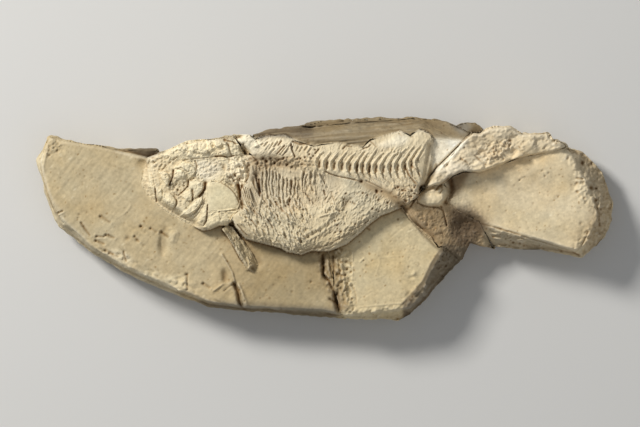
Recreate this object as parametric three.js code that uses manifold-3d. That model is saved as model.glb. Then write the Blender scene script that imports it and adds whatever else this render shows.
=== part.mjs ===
// A fossil fish: the head and front trunk of a bony fish, standing in relief on a broken limestone
// nodule that has been cleaned, cut back and cemented together again. The specimen lies on its back.
// Millimetres. X runs from the snout to the rear, Y from the belly to the back of the fish, and Z up
// out of the stone. The origin is on the floor under the middle of the specimen.
import * as THREE from "three";
import { mergeVertices } from "three/addons/utils/BufferGeometryUtils.js";
import Module from "manifold-3d";

const wasm = await Module();
wasm.setup();

// Driving dimensions.
const seam = 0.3; // gap between neighbouring pieces
const waist = 7; // height of that widest line
const seat = 12; // level on which the fossil stands in the stone
const boneSeat = 18.6; // level on which the single head bones stand in the skull
const sky = 60; // higher than anything in the part

const vertebra = {
  count: 15,
  first: -3.05, // X of the front centrum
  pitch: 2.51,
  width: 0.95,
  rise: 1.3,
};
const columnSag = { end: 19.2, middle: 17.6 }; // Y of the column at its ends and in its middle

// The faces that the stone blocks show: a level at the middle of the specimen, and a tilt. The foot
// is how far the underside is drawn in from the widest line of the block.
const blocks = {
  left: { level: 17.2, alongX: 0.014, alongY: 0, foot: 3.5 },
  lower: { level: 18.4, alongX: -0.02, alongY: 0, foot: 3.5 },
  right: { level: 18.4, alongX: 0, alongY: -0.05, foot: 3.5 },
  upperRight: { level: 28.4, alongX: -0.12, alongY: 0, foot: 0.8 },
  mortar: { level: 28.9, alongX: -0.305, alongY: 0.23, foot: 0.8 },
};
const backRidge = 23.6; // height of the back block where it meets the fossil
const backRim = 9; // height of its outer edge
const backFoot = 1.2; // how far its underside is drawn in
const chipFace = 21.6; // height of the bare chip behind the last vertebra

// Front edges of the stone blocks: X, Y, and how far the side leans out below that corner. A corner
// with no third value is on a joint, where the side is upright.
const leftEdge = [
  [-96.7, 29, 0.3],
  [-92.8, 27.9, 0.4],
  [-85.8, 26.7, 0.3],
  [-77.7, 25.4, 0.3],
  [-71.8, 24, 0.2],
  [-62, 21.8, 0.1],
  [-57.7, 23.1, 0],
  [-51.4, 25.9, 0],
  [-43.7, 27.8, 0],
  [-34.6, 28.8, 0],
  [-31.8, 29.4, 0],
  [-25.4, 29.3, 0],
  [-8.6, 6.8],
  [2.3, -13.5],
  [3, -19.5],
  [3.3, -24.7],
  [4.7, -28.3],
  [5.8, -33.5, 0.6],
  [-1.6, -31.8, 2.6],
  [-10, -31.4, 2.2],
  [-19.5, -31.2, 1.2],
  [-29, -30.7, 1.3],
  [-40.2, -29.1, 1.6],
  [-50.7, -24.7, 2.1],
  [-59.5, -21.2, 2],
  [-70, -16.3, 2.2],
  [-82, -9.5, 2],
  [-91.4, -0.5, 2.8],
  [-96.9, 9.8, 1.6],
  [-99.9, 20.5, 0.9],
];
const leftLedge = [
  [-75.5, 23.5],
  [-75.5, 24.9],
  [-64.1, 24.6],
  [-59.3, 24.2],
  [-58, 22],
  [-66, 20],
];
const lowerEdge = [
  [5.8, -33.7, 0.8],
  [26, -31.6, 3.9],
  [30, -31.2, 1.9],
  [34.9, -25.8, 2.3],
  [36.2, -20.9, 4.2],
  [39.3, -15.6, 5.2],
  [41.5, -11, 7],
  [42.3, -9.3],
  [40.2, -10],
  [36, -5.6],
  [30, -0.4],
  [26.5, 4.4],
  [-8.6, 6.8],
  [2.3, -13.5],
  [3, -19.5],
  [3.3, -24.7],
  [4.7, -28.3],
];
const mortarEdge = [
  [40.2, -10],
  [36, -5.6],
  [30, -0.4],
  [26.5, 4.4],
  [32.5, 7.9],
  [35.3, 11.4],
  [41.6, 12.8],
  [44.1, 10.4],
  [43.3, 6.5],
  [46.9, 3.3],
  [49.7, 1.9],
  [54.6, -0.5],
  [60.4, -10.2],
  [54.8, -9.2, 0.2],
  [50.9, -7.4, 0.3],
  [49.2, -11.2, 0.4],
  [48, -13.4, 0.4],
  [42.3, -9.3],
];
const rightEdge = [
  [41.6, 12.8],
  [45.1, 15.4],
  [48.6, 16.8],
  [54.6, 16.8],
  [60.8, 19.2],
  [68.6, 21.9],
  [78.4, 23.8],
  [85.1, 25.5],
  [87.6, 21.8, 4],
  [89.3, 16.1, 7],
  [91.7, 13, 7],
  [93.5, 8.2, 7],
  [95.4, 4.7, 6],
  [96, 0.5, 5.2],
  [93.9, -3.6, 5.2],
  [92.3, -7.2, 4.2],
  [89.7, -10.6, 2.6],
  [84.8, -10.2, 1.8],
  [77.3, -7.7, 3],
  [69.3, -6.1, 4.6],
  [61.6, -3.9, 6],
  [54.6, -0.5],
  [49.7, 1.9],
  [46.9, 3.3],
  [43.3, 6.5],
  [44.1, 10.4],
];
const upperRightEdge = [
  [51.8, 30.2, 0.2],
  [54.4, 30, 0.2],
  [57.4, 31.8, 0.3],
  [61.4, 32.4, 0.3],
  [65.4, 32.4, 0.3],
  [69.1, 29.9, 0.3],
  [78.4, 30, 0.3],
  [79.5, 27.7, 0.2],
  [84.4, 26.6, 0.2],
  [85.1, 25.5],
  [78.4, 23.8],
  [68.6, 21.9],
  [60.8, 19.2],
  [54.6, 16.8],
  [48.6, 16.8],
  [45.1, 15.4],
  [41.6, 12.8],
  [35.3, 11.4],
  [40.5, 18.9],
  [45.1, 23.3],
  [47.6, 26.9],
];
// The back block slopes from the fossil down to its outer edge, so its corners are in two runs.
// The outer edge has its own height as a third value where it isn't backRim.
const backOuterEdge = [
  [-25.4, 29.8],
  [-17.4, 31.6],
  [-8.6, 32.6],
  [-1.2, 34.6],
  [5.8, 34.9],
  [20.5, 35.5],
  [33, 35.6],
  [41.3, 34.8, 11],
  [46.9, 32.3, 15],
  [51.8, 30.2, 20],
];
const backInnerEdge = [
  [47.6, 26.9],
  [38.4, 28.2],
  [36.6, 30.5],
  [33.2, 31.8],
  [30, 29.5],
  [26.5, 31.3],
  [16, 28],
  [13.5, 25.6],
  [7.2, 26.6],
  [4.4, 27.2],
  [-4, 26],
  [-10.2, 28],
  [-13.9, 29.8],
  [-20.9, 29.4],
  [-24, 28.6],
];
const backUnderFossil = [...backInnerEdge.slice(1), [-8.6, 6.8], [26.5, 4.4], [32.5, 7.9]];
const backChip = [
  [47.6, 26.9],
  [38.4, 28.2],
  [36, 27.4],
  [34, 12],
  [35.3, 11.4],
  [40.5, 18.9],
  [45.1, 23.3],
];
const backLump = { x: 50.6, y: 29.4, alongX: 6.2, alongY: 4.8, rim: 7, crown: 11, bevel: 2.6 };
const knobEdge = [
  [32.5, 8.2],
  [35.3, 11],
  [40.9, 12.4],
  [43.5, 10.4],
  [42.7, 6.8],
  [40.5, 4.8],
  [36.3, 4.6],
  [32.8, 6],
];
// The spoon-shaped hollow in the right block.
const hollow = { x: 67, y: 9, z: 22.7, alongX: 34, alongY: 18, depth: 6.3 };

// Marks in the cleaned faces. A dent or swell is the end of a ball: half its length and width where
// it meets the face, its depth or height, and its turn in degrees.
const slabDents = [
  { x: -56.9, y: -9.6, long: 4, wide: 1.9, high: 0.8, turn: 88 }, // where a thumb would lie
  { x: -34.9, y: -20.2, long: 3, wide: 1.3, high: 0.8, turn: 97 }, // the shape of a leaf
];
const slabSwell = { x: -53.5, y: -6.2, long: 2.6, wide: 1.4, high: 0.5, turn: 80 };
const lowerSwells = [
  { x: 31.3, y: -19, long: 1.2, wide: 0.9, high: 0.5, turn: 60 },
  { x: 31.8, y: -25.2, long: 1.3, wide: 1, high: 0.6, turn: 50 },
];
const mortarDent = { x: 49, y: -2.6, long: 4, wide: 2.6, high: 1.4, turn: -40 };

// A ridge or groove follows a path.
const slabRidges = [
  {
    // the crest beside the leaf
    width: 1,
    high: 0.7,
    path: [
      [-36.3, -12.1],
      [-34.4, -15.3],
      [-32.6, -18.4],
      [-31.6, -22.3],
    ],
  },
  {
    // its spur
    width: 0.9,
    high: 0.5,
    path: [
      [-39.3, -25.1],
      [-37.2, -23.7],
      [-35.5, -22.5],
      [-33, -22.3],
    ],
  },
  {
    // the lip of the notch
    width: 1.1,
    high: 0.7,
    path: [
      [-30.2, -23],
      [-28.4, -26.5],
      [-27.2, -29.6],
    ],
  },
  {
    // rubble beside the cemented joint
    width: 1.1,
    high: 0.8,
    path: [
      [0.9, -13.9],
      [1.4, -17.7],
      [2, -21.4],
    ],
  },
];
const lowerRidge = {
  width: 1.2,
  high: 0.5,
  path: [
    [5.6, -12.4],
    [6, -17],
    [6.7, -21.9],
    [7.7, -27.6],
    [8.1, -31.1],
  ],
};
const slabGrooves = [
  {
    // the notch in the lower edge
    width: 1.2,
    high: 1.5,
    path: [
      [-31.9, -22.5],
      [-30.2, -24.7],
      [-29.8, -28.3],
      [-28.8, -31.1],
      [-27.4, -34],
    ],
  },
  {
    // the open part of the cemented joint
    width: 0.9,
    high: 1.5,
    path: [
      [-0.9, -12.5],
      [-0.4, -16.3],
      [-0.6, -19.5],
      [1.2, -21.4],
    ],
  },
];
// The hole at the foot of the joint goes into both slabs.
const jointHole = {
  width: 1.7,
  high: 2.6,
  path: [
    [3.8, -26],
    [4.4, -28.3],
    [5.5, -34.5],
  ],
};
// Gouges of a tool: both ends of each.
const gouge = { width: 0.75, high: 0.5 };
const gougeEnds = [
  [-85.1, -1.8, -82.7, -5.1],
  [-78.6, 0.7, -75.8, -1.2],
  [-77, -5.4, -74.1, -6.5],
  [-80.6, -7.5, -77.6, -8.7],
  [-57.6, -4.4, -55.1, -6.1],
  [-42.8, -22.5, -40.4, -24],
];

// Outlines of the fossil, X and Y.
const headOutline = [
  [-62, 21.9],
  [-63.5, 16.7],
  [-64.1, 12.5],
  [-62, 8.8],
  [-57.7, 4.7],
  [-50.7, 0.2],
  [-44.9, -2.6],
  [-42.6, -3.7],
  [-39.8, -3.2],
  [-37, -1.9],
  [-34.2, -1.7],
  [-32.8, -0.5],
  [-31.8, 1.9],
  [-29.7, 2.9],
  [-29.1, 10.4],
  [-26.5, 14.6],
  [-26.1, 19.1],
  [-27.9, 21.9],
  [-30.4, 27.2],
  [-31.9, 29.5],
  [-38.4, 28],
  [-43.7, 28],
  [-48.3, 27.5],
  [-54.2, 24.7],
];
const frontSpinesOutline = [
  [-31.6, 29.6],
  [-26.1, 29.5],
  [-24, 27.6],
  [-20.9, 28.6],
  [-13.9, 29],
  [-10.7, 27.4],
  [-11.8, 25.4],
  [-11.1, 22.3],
  [-17.4, 22.1],
  [-23.3, 21.6],
  [-26.9, 24.4],
];
const columnOutline = [
  [-10.4, 27],
  [-4, 25.1],
  [4.4, 26.4],
  [7.2, 25.8],
  [13.5, 24.7],
  [16.3, 27.2],
  [26.5, 30.5],
  [30, 28.6],
  [33.2, 31],
  [36.2, 29.7],
  [37.6, 27.6],
  [37.1, 20.9],
  [35.6, 14.6],
  [34, 11.1],
  [32.1, 7.9],
  [28.3, 5],
  [24.4, 7.2],
  [16.7, 11.4],
  [10.7, 13.9],
  [5.4, 14.9],
  [-2.3, 16.8],
  [-8.6, 17.7],
  [-13.9, 19.8],
  [-17.4, 21.9],
  [-11.1, 22.1],
];
const ribsOutline = [
  [-28.5, 22.5],
  [-22.6, 21.6],
  [-16, 22.4],
  [-8.6, 19],
  [-2.3, 18],
  [5.4, 16],
  [6.8, 10.4],
  [3.7, 6.8],
  [-5.1, 4],
  [-13.9, 2.6],
  [-21.9, 4],
  [-26.9, 5.6],
  [-30.4, 8.4],
  [-27.6, 14.6],
];
const bellyOutline = [
  [-30.6, 6.5],
  [-26.9, 8],
  [-13.9, 6],
  [-5.1, 8],
  [3, 17],
  [10.7, 16],
  [16.7, 13],
  [24.4, 9],
  [29, 5.4],
  [22.9, 2.8],
  [19.6, 1.6],
  [15.6, -1.4],
  [12.4, -4.4],
  [7.5, -8.5],
  [1.5, -10.9],
  [-4.6, -10.7],
  [-8.1, -12.1],
  [-13.2, -11.1],
  [-15.3, -9.8],
  [-22.5, -7.9],
  [-27.6, -6.6],
  [-31.1, -2.3],
  [-32.4, 1.4],
];

// The single bones of the head: outline, height of the rim and of the crown, width of the bevel.
const headBones = {
  skull_roof: {
    rim: 22.4,
    crown: 23.8,
    bevel: 1.1,
    outline: [
      [-57.7, 22.8],
      [-48.3, 27.1],
      [-38.4, 27.5],
      [-32.3, 29],
      [-29.9, 25.4],
      [-28.4, 22.4],
      [-31.4, 22.2],
      [-38.8, 21.8],
      [-46.2, 20.9],
      [-54.2, 21.1],
    ],
  },
  braincase: {
    rim: 21.8,
    crown: 22.6,
    bevel: 0.6,
    outline: [
      [-45.6, 20.6],
      [-38.8, 21.4],
      [-31.4, 21.8],
      [-28.6, 21.6],
      [-27.4, 18],
      [-29.6, 14],
      [-34, 13],
      [-40.6, 13.8],
      [-44.4, 14.6],
      [-44.4, 18],
    ],
  },
  snout_blade: {
    rim: 20.4,
    crown: 20.9,
    bevel: 0.25,
    outline: [
      [-61.6, 16],
      [-60.6, 16],
      [-60, 12.5],
      [-59.2, 8.2],
      [-58.8, 5.9],
      [-59.9, 7],
      [-61.1, 9.7],
    ],
  },
  supraorbital: {
    rim: 22,
    crown: 22.6,
    bevel: 0.5,
    outline: [
      [-52.1, 18.2],
      [-50.7, 19.7],
      [-48.3, 20.4],
      [-46.2, 20],
      [-44.9, 18.1],
      [-45.3, 16],
      [-46.8, 14.7],
      [-48, 16.9],
      [-50.4, 17.8],
    ],
  },
  sclerotic: {
    rim: 21.6,
    crown: 22.3,
    bevel: 0.6,
    outline: [
      [-52.6, 16.9],
      [-51.2, 17.4],
      [-49.7, 17.1],
      [-48.4, 15.6],
      [-48.6, 14.1],
      [-52.5, 14.2],
    ],
  },
  lacrimal: {
    rim: 21.4,
    crown: 22.2,
    bevel: 0.7,
    outline: [
      [-57.6, 16.3],
      [-56.3, 16.9],
      [-54.9, 16],
      [-54.5, 14.2],
      [-54.8, 12.3],
      [-55.7, 11.4],
      [-56.9, 13.5],
    ],
  },
  postorbital: {
    rim: 21.8,
    crown: 22.5,
    bevel: 0.5,
    outline: [
      [-47.2, 13],
      [-45.1, 13.6],
      [-41.8, 12.8],
      [-42.4, 10.4],
      [-43.9, 8.3],
      [-45.1, 8.4],
      [-45.8, 10.4],
      [-47.2, 11.1],
    ],
  },
  suborbital: {
    rim: 21.4,
    crown: 22,
    bevel: 0.5,
    outline: [
      [-49.7, 9.7],
      [-48.6, 10.5],
      [-47.3, 10],
      [-46.3, 8.6],
      [-46.7, 7],
      [-48.3, 6.7],
      [-49.7, 7.9],
    ],
  },
  maxilla: {
    rim: 20.6,
    crown: 21.2,
    bevel: 0.4,
    outline: [
      [-58.5, 10.4],
      [-57.4, 11.1],
      [-56.4, 9.3],
      [-56.8, 7.4],
      [-57.5, 6],
      [-58.5, 6.8],
    ],
  },
  dentary: {
    rim: 21,
    crown: 21.9,
    bevel: 0.7,
    outline: [
      [-56.2, 8.2],
      [-54.9, 8.9],
      [-53.5, 7.9],
      [-51.9, 6.1],
      [-52.1, 4.6],
      [-53.5, 3.5],
      [-55.4, 4.2],
      [-56.7, 5.8],
    ],
  },
  preopercle: {
    rim: 21.6,
    crown: 22.3,
    bevel: 0.5,
    outline: [
      [-43.3, 7.9],
      [-42.9, 6.8],
      [-43.7, 5],
      [-45.1, 3],
      [-47.3, 1.4],
      [-50.4, 1.1],
      [-52.6, 2.3],
      [-50.4, 2.9],
      [-47.9, 4.3],
      [-45.6, 6.2],
    ],
  },
  branchiostegal_rays: {
    rim: 20.8,
    crown: 21.3,
    bevel: 0.3,
    outline: [
      [-41.9, 8.6],
      [-41.5, 6.5],
      [-42.3, 3.8],
      [-44.2, 0.9],
      [-46.9, -0.8],
      [-49.5, -0.5],
      [-50.4, 0.7],
      [-47, 0.9],
      [-44.8, 2.5],
      [-43.3, 4.7],
      [-42.5, 6.8],
    ],
  },
  interopercle: {
    rim: 21.8,
    crown: 22.4,
    bevel: 0.35,
    outline: [
      [-41.2, 4.9],
      [-41.2, 0.2],
      [-41.6, -0.7],
      [-43.9, -0.9],
      [-43.5, 0.8],
      [-42, 3.4],
    ],
  },
  opercle: {
    rim: 21.9,
    crown: 22.6,
    bevel: 0.8,
    outline: [
      [-40.8, 12.3],
      [-39.5, 13],
      [-36.3, 13],
      [-33.9, 12.5],
      [-31.8, 10.7],
      [-30.4, 8.2],
      [-30, 5.8],
      [-30.4, 3.6],
      [-32.8, 3.3],
      [-36.7, 3.1],
      [-40.7, 3.4],
      [-40.8, 8.2],
    ],
  },
  subopercle: {
    rim: 21.3,
    crown: 21.9,
    bevel: 0.5,
    outline: [
      [-40.7, 2.9],
      [-36.9, 2.7],
      [-31.1, 2.9],
      [-30.4, 2.6],
      [-32, 1.6],
      [-33.1, -0.4],
      [-34.4, -1.2],
      [-37, -1.4],
      [-39.8, -2.7],
      [-42.1, -3.1],
      [-42.6, -2.5],
      [-41.1, -1.3],
      [-40.7, 0.2],
    ],
  },
};
const cleithrum = {
  rim: 23,
  crown: 23.6,
  bevel: 0.3,
  outline: [
    [-28.9, 13.2],
    [-27.8, 13.2],
    [-26.6, 10.2],
    [-24.8, 6.4],
    [-22.6, 2.9],
    [-24.3, 2.7],
    [-26.9, 4.6],
    [-28.4, 8],
  ],
};
// The oblique fin bone below the head: its front edge is its crest.
const finBone = {
  seat: 15.6,
  outline: [
    [-36, -3.4, 20.4],
    [-34.4, -5.4, 20.6],
    [-31.9, -9.4, 20.4],
    [-29.7, -13.5, 19.8],
    [-27.2, -17, 19],
    [-25.1, -18.3, 18.2],
    [-23.7, -16, 17.8],
    [-25.8, -11.8, 18],
    [-28.8, -7.4, 18.4],
    [-32.2, -2.6, 18.8],
    [-33.4, -2.2, 19.2],
  ],
};

// Rods and spines, each a bar that tapers along a short path.
const rib = {
  count: 14,
  first: -24.6, // X of the head of the front rib
  pitch: 1.62,
  top: 17.2,
  reach: 9.2,
  lean: 0.9,
  width: 0.8,
  rise: 0.9,
};
const frontSpine = { count: 7, first: -23.6, pitch: 1.4, width: 0.6, rise: 0.7 };

// The belly: slanting rows of scales, and the edges of two sheets of them.
const bellyHeights = { rim: 22, crown: 24.2, bevel: 2.2 };
const scaleRow = {
  count: 15,
  first: -31.5,
  pitch: 2.9,
  top: 8,
  climb: 0.6,
  drop: 20,
  lean: 11,
  width: 1.1,
  high: 0.45,
};
const scaleSheets = [
  {
    width: 1.5,
    high: 0.7,
    path: [
      [-7.4, -5.4],
      [-4.2, -3.7],
      [-1.4, -2.3],
      [1.1, -0.5],
      [2.5, 1.2],
    ],
  },
  {
    width: 0.9,
    high: 0.6,
    path: [
      [-1.8, 1.1],
      [1.4, 1.9],
      [4.2, 2.7],
    ],
  },
];
const bellyDent = { x: 7.7, y: 5.8, long: 2.6, wide: 1.8, high: 0.9, turn: 60 };
// The sheets part along the lower edge.
const bellyEdgeGroove = {
  width: 0.6,
  path: [
    [-8.8, -11],
    [-5.3, -9.7],
    [-1, -9],
    [2.1, -7.7],
    [5.3, -6],
    [9.5, -3.3],
    [14, -0.5],
  ],
};

// Solids from three.js shapes.
function solidOf(geometry) {
  geometry.deleteAttribute("normal");
  geometry.deleteAttribute("uv");
  const merged = mergeVertices(geometry, 1e-4);
  const mesh = new wasm.Mesh({
    numProp: 3,
    vertProperties: new Float32Array(merged.getAttribute("position").array),
    triVerts: new Uint32Array(merged.index.array),
  });
  return new wasm.Manifold(mesh);
}

function anticlockwise(outline) {
  const points = outline.map(([x, y]) => new THREE.Vector2(x, y));
  return THREE.ShapeUtils.area(points) > 0 ? outline : [...outline].reverse();
}

// The outline moved outwards by a distance that may differ from corner to corner.
function grown(outline, distance) {
  const ring = anticlockwise(outline);
  return ring.map(([x, y], i) => {
    const before = ring.at(i - 1);
    const after = ring[(i + 1) % ring.length];
    const along = new THREE.Vector2(x - before[0], y - before[1]).normalize();
    const onward = new THREE.Vector2(after[0] - x, after[1] - y).normalize();
    const out = new THREE.Vector2(along.y + onward.y, -along.x - onward.x);
    const spread = Math.max(out.length(), 0.8);
    out.normalize().multiplyScalar((2 / spread) * distance(ring[i]));
    return [x + out.x, y + out.y];
  });
}

// A solid through rings of equal corner count, from the lowest to the highest.
function lofted(rings) {
  const base = rings[0].map(([x, y]) => new THREE.Vector2(x, y));
  const steps = rings.length - 1;
  const geometry = new THREE.ExtrudeGeometry(new THREE.Shape(base), {
    depth: steps,
    steps,
    bevelEnabled: false,
  });
  const place = geometry.getAttribute("position");
  for (let i = 0; i < place.count; i += 1) {
    const here = new THREE.Vector2(place.getX(i), place.getY(i));
    const corner = base.findIndex((point) => point.distanceTo(here) < 1e-3);
    place.setXYZ(i, ...rings[Math.round(place.getZ(i))][corner]);
  }
  return solidOf(geometry);
}

const atHeight = (outline, z) => outline.map(([x, y]) => [x, y, z]);
const numbers = (count) => Array.from({ length: count }, (_, n) => n);

function prism(outline, low, high) {
  const ring = anticlockwise(outline);
  return lofted([atHeight(ring, low), atHeight(ring, high)]);
}

// What each piece keeps clear of: the same outline, a seam wider, upwards from a level.
const clearance = (outline, from) => prism(grown(outline, () => seam), from, sky);

const cutBy = (solid, cutters) => cutters.reduce((left, cutter) => left.subtract(cutter), solid);
const joinedTo = (solid, others) => others.reduce((left, other) => left.add(other), solid);

// A bone or block with an upright side and a bevel round its crown.
function crowned(outline, low, { rim, crown, bevel }) {
  const ring = anticlockwise(outline);
  const inner = grown(ring, () => -bevel);
  return lofted([atHeight(ring, low), atHeight(ring, rim), atHeight(inner, crown)]);
}

// A bar along a path, from its wide end to its narrow one.
function bar(path, width, taper, low, high) {
  const sides = [[], []];
  path.forEach(([x, y], i) => {
    const before = path[Math.max(i - 1, 0)];
    const after = path[Math.min(i + 1, path.length - 1)];
    const across = new THREE.Vector2(before[1] - after[1], after[0] - before[0]).normalize();
    const half = (width / 2) * (1 - (taper * i) / (path.length - 1));
    sides[0].push([x + across.x * half, y + across.y * half]);
    sides[1].unshift([x - across.x * half, y - across.y * half]);
  });
  return crowned([...sides[0], ...sides[1]], low, {
    rim: high - 0.25,
    crown: high,
    bevel: width * 0.22,
  });
}

// A stone block: drawn in at the floor, widest at the waist, and cut to its front face.
const widest = (edge) => grown(edge, (corner) => corner[2] ?? 0);
const faceAt = (block, x, y) => block.level + block.alongX * x + block.alongY * y;

function stoneBlock(edge, block) {
  const ring = anticlockwise(edge);
  const wide = widest(edge);
  const base = grown(ring, (corner) => (corner.length > 2 ? corner[2] - block.foot : 0));
  const front = ring.map(([x, y]) => [x, y, faceAt(block, x, y)]);
  return lofted([atHeight(base, 0), atHeight(wide, waist), front]);
}

// The end of a ball across a face: its bottom for a dent, with side 1, and its top for a swell.
function ballEnd({ x, y, long, wide, high, turn }, face, side) {
  const spread = 1.34; // the ball against the circle in which the face cuts it
  const ball = new THREE.SphereGeometry(1, 16, 10);
  ball.rotateX(Math.PI / 2);
  ball.scale(long * spread, wide * spread, high * 3);
  ball.rotateZ(THREE.MathUtils.degToRad(turn));
  ball.translate(x, y, face + side * high * 2);
  return solidOf(ball);
}

const dentIn = (block, mark) => ballEnd(mark, faceAt(block, mark.x, mark.y), 1);
const swellOn = (block, mark) => ballEnd(mark, faceAt(block, mark.x, mark.y), -1);

function ridgeOn(face, { path, width, high }) {
  return bar(path, width, 0.3, face - 2, face + high);
}

function grooveIn(face, { path, width, high }) {
  return bar(path, width, 0, face - high, sky);
}

function backLumpOutline() {
  const ring = new THREE.EllipseCurve(backLump.x, backLump.y, backLump.alongX, backLump.alongY);
  return ring.getPoints(16).slice(0, -1).map(({ x, y }) => [x, y]);
}

function backBlock() {
  const ring = anticlockwise([...backOuterEdge, ...backInnerEdge]);
  const isOuter = ([x, y]) => backOuterEdge.some((corner) => corner[0] === x && corner[1] === y);
  const base = grown(ring, (corner) => (isOuter(corner) ? -backFoot : 0));
  const front = ring.map(([x, y, z]) => [x, y, z ?? (isOuter([x, y]) ? backRim : backRidge)]);
  const slope = lofted([atHeight(base, 0), atHeight(ring, waist), front]);
  const lump = crowned(backLumpOutline(), 0, backLump);
  return slope
    .add(prism(backUnderFossil, 0, seat + 2))
    .add(prism(grown(backChip, () => 0.2), 0, chipFace))
    .add(lump.subtract(clearance(widest(upperRightEdge), -1)));
}

function spoon() {
  const ball = new THREE.SphereGeometry(1, 28, 20);
  ball.rotateX(Math.PI / 2);
  ball.scale(hollow.alongX, hollow.alongY, hollow.depth);
  ball.translate(hollow.x, hollow.y, hollow.z);
  return solidOf(ball);
}

const columnY = (x) => {
  const share = THREE.MathUtils.clamp((x + 3) / 36, 0, 1);
  return columnSag.end - (columnSag.end - columnSag.middle) * Math.sin(Math.PI * share);
};

// A bed of bone with the bars that grow from it, kept inside the outline of the bed.
function bedWith(bars, outline, heights) {
  const bed = crowned(outline, seat + seam, heights);
  return joinedTo(bed, bars).intersect(prism(outline, seat, sky));
}

// One bent bar for each vertebra: its upper spine, centrum and lower spine.
function backbone() {
  const bars = numbers(vertebra.count).map((n) => {
    const x = vertebra.first + n * vertebra.pitch;
    const y = columnY(x);
    const share = n / (vertebra.count - 1);
    const upper = 3.2 + 2.6 * share;
    const lower = 1.4 + 4 * share;
    const path = [
      [x + upper * 0.95, y + 2.2 + upper],
      [x + 0.5, y + 1.9],
      [x, y],
      [x + 0.3, y - 1.9],
      [x + 0.3 + lower * 0.55, y - 1.9 - lower],
    ];
    return bar(path, vertebra.width, 0.45, 24, 24.5 + vertebra.rise);
  });
  return bedWith(bars, columnOutline, { rim: 23.9, crown: 24.5, bevel: 0.8 });
}

function ribCage() {
  const bars = numbers(rib.count).map((n) => {
    const x = rib.first + n * rib.pitch;
    const top = rib.top + 0.12 * n - 0.03 * n * n;
    const length = rib.reach * (n % 3 === 1 ? 0.82 : 1);
    const path = [
      [x, top],
      [x + rib.lean * 0.2, top - length * 0.5],
      [x + rib.lean, top - length],
    ];
    return bar(path, rib.width, 0.4, 22, 22.4 + rib.rise);
  });
  return bedWith(bars, ribsOutline, { rim: 22, crown: 22.4, bevel: 0.4 });
}

function frontSpines() {
  const bars = numbers(frontSpine.count).map((n) => {
    const x = frontSpine.first + n * frontSpine.pitch;
    const path = [
      [x, 22.9],
      [x + 3.2, 26.4],
    ];
    return bar(path, frontSpine.width, 0.3, 24.2, 24.8 + frontSpine.rise);
  });
  return bedWith(bars, frontSpinesOutline, { rim: 24.2, crown: 24.8, bevel: 0.6 });
}

function belly() {
  const { crown, bevel } = bellyHeights;
  const rows = numbers(scaleRow.count).map((n) => {
    const x = scaleRow.first + n * scaleRow.pitch;
    const y = scaleRow.top + n * scaleRow.climb;
    const path = [
      [x, y],
      [x + scaleRow.lean, y - scaleRow.drop],
    ];
    return ridgeOn(crown, { ...scaleRow, path });
  });
  const sheets = scaleSheets.map((sheet) => ridgeOn(crown, sheet));
  const flat = prism(grown(bellyOutline, () => 0.2 - bevel), seat, sky);
  const ridges = joinedTo(rows[0], [...rows.slice(1), ...sheets]);
  return crowned(bellyOutline, seat + seam, bellyHeights)
    .add(ridges.intersect(flat))
    .subtract(ballEnd(bellyDent, crown, 1))
    .subtract(bar(bellyEdgeGroove.path, bellyEdgeGroove.width, 0, crown - 1.2, sky));
}

// Assembly.
const part = new THREE.Group();

function place(name, solid, color) {
  const { vertProperties, triVerts } = solid.getMesh();
  const geometry = new THREE.BufferGeometry();
  geometry.setAttribute("position", new THREE.BufferAttribute(vertProperties, 3));
  geometry.setIndex(new THREE.BufferAttribute(triVerts, 1));
  geometry.computeVertexNormals();
  const material = new THREE.MeshStandardMaterial({ color, roughness: 0.92, metalness: 0 });
  const mesh = new THREE.Mesh(geometry, material);
  mesh.name = name;
  part.add(mesh);
}

const fossilOutlines = [headOutline, frontSpinesOutline, columnOutline, ribsOutline, bellyOutline];
const fossilPockets = fossilOutlines.map((outline) => clearance(outline, seat));

function gougeMark([x1, y1, x2, y2]) {
  const path = [
    [x1, y1],
    [x2, y2],
  ];
  return grooveIn(faceAt(blocks.left, x1, y1), { ...gouge, path });
}

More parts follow.
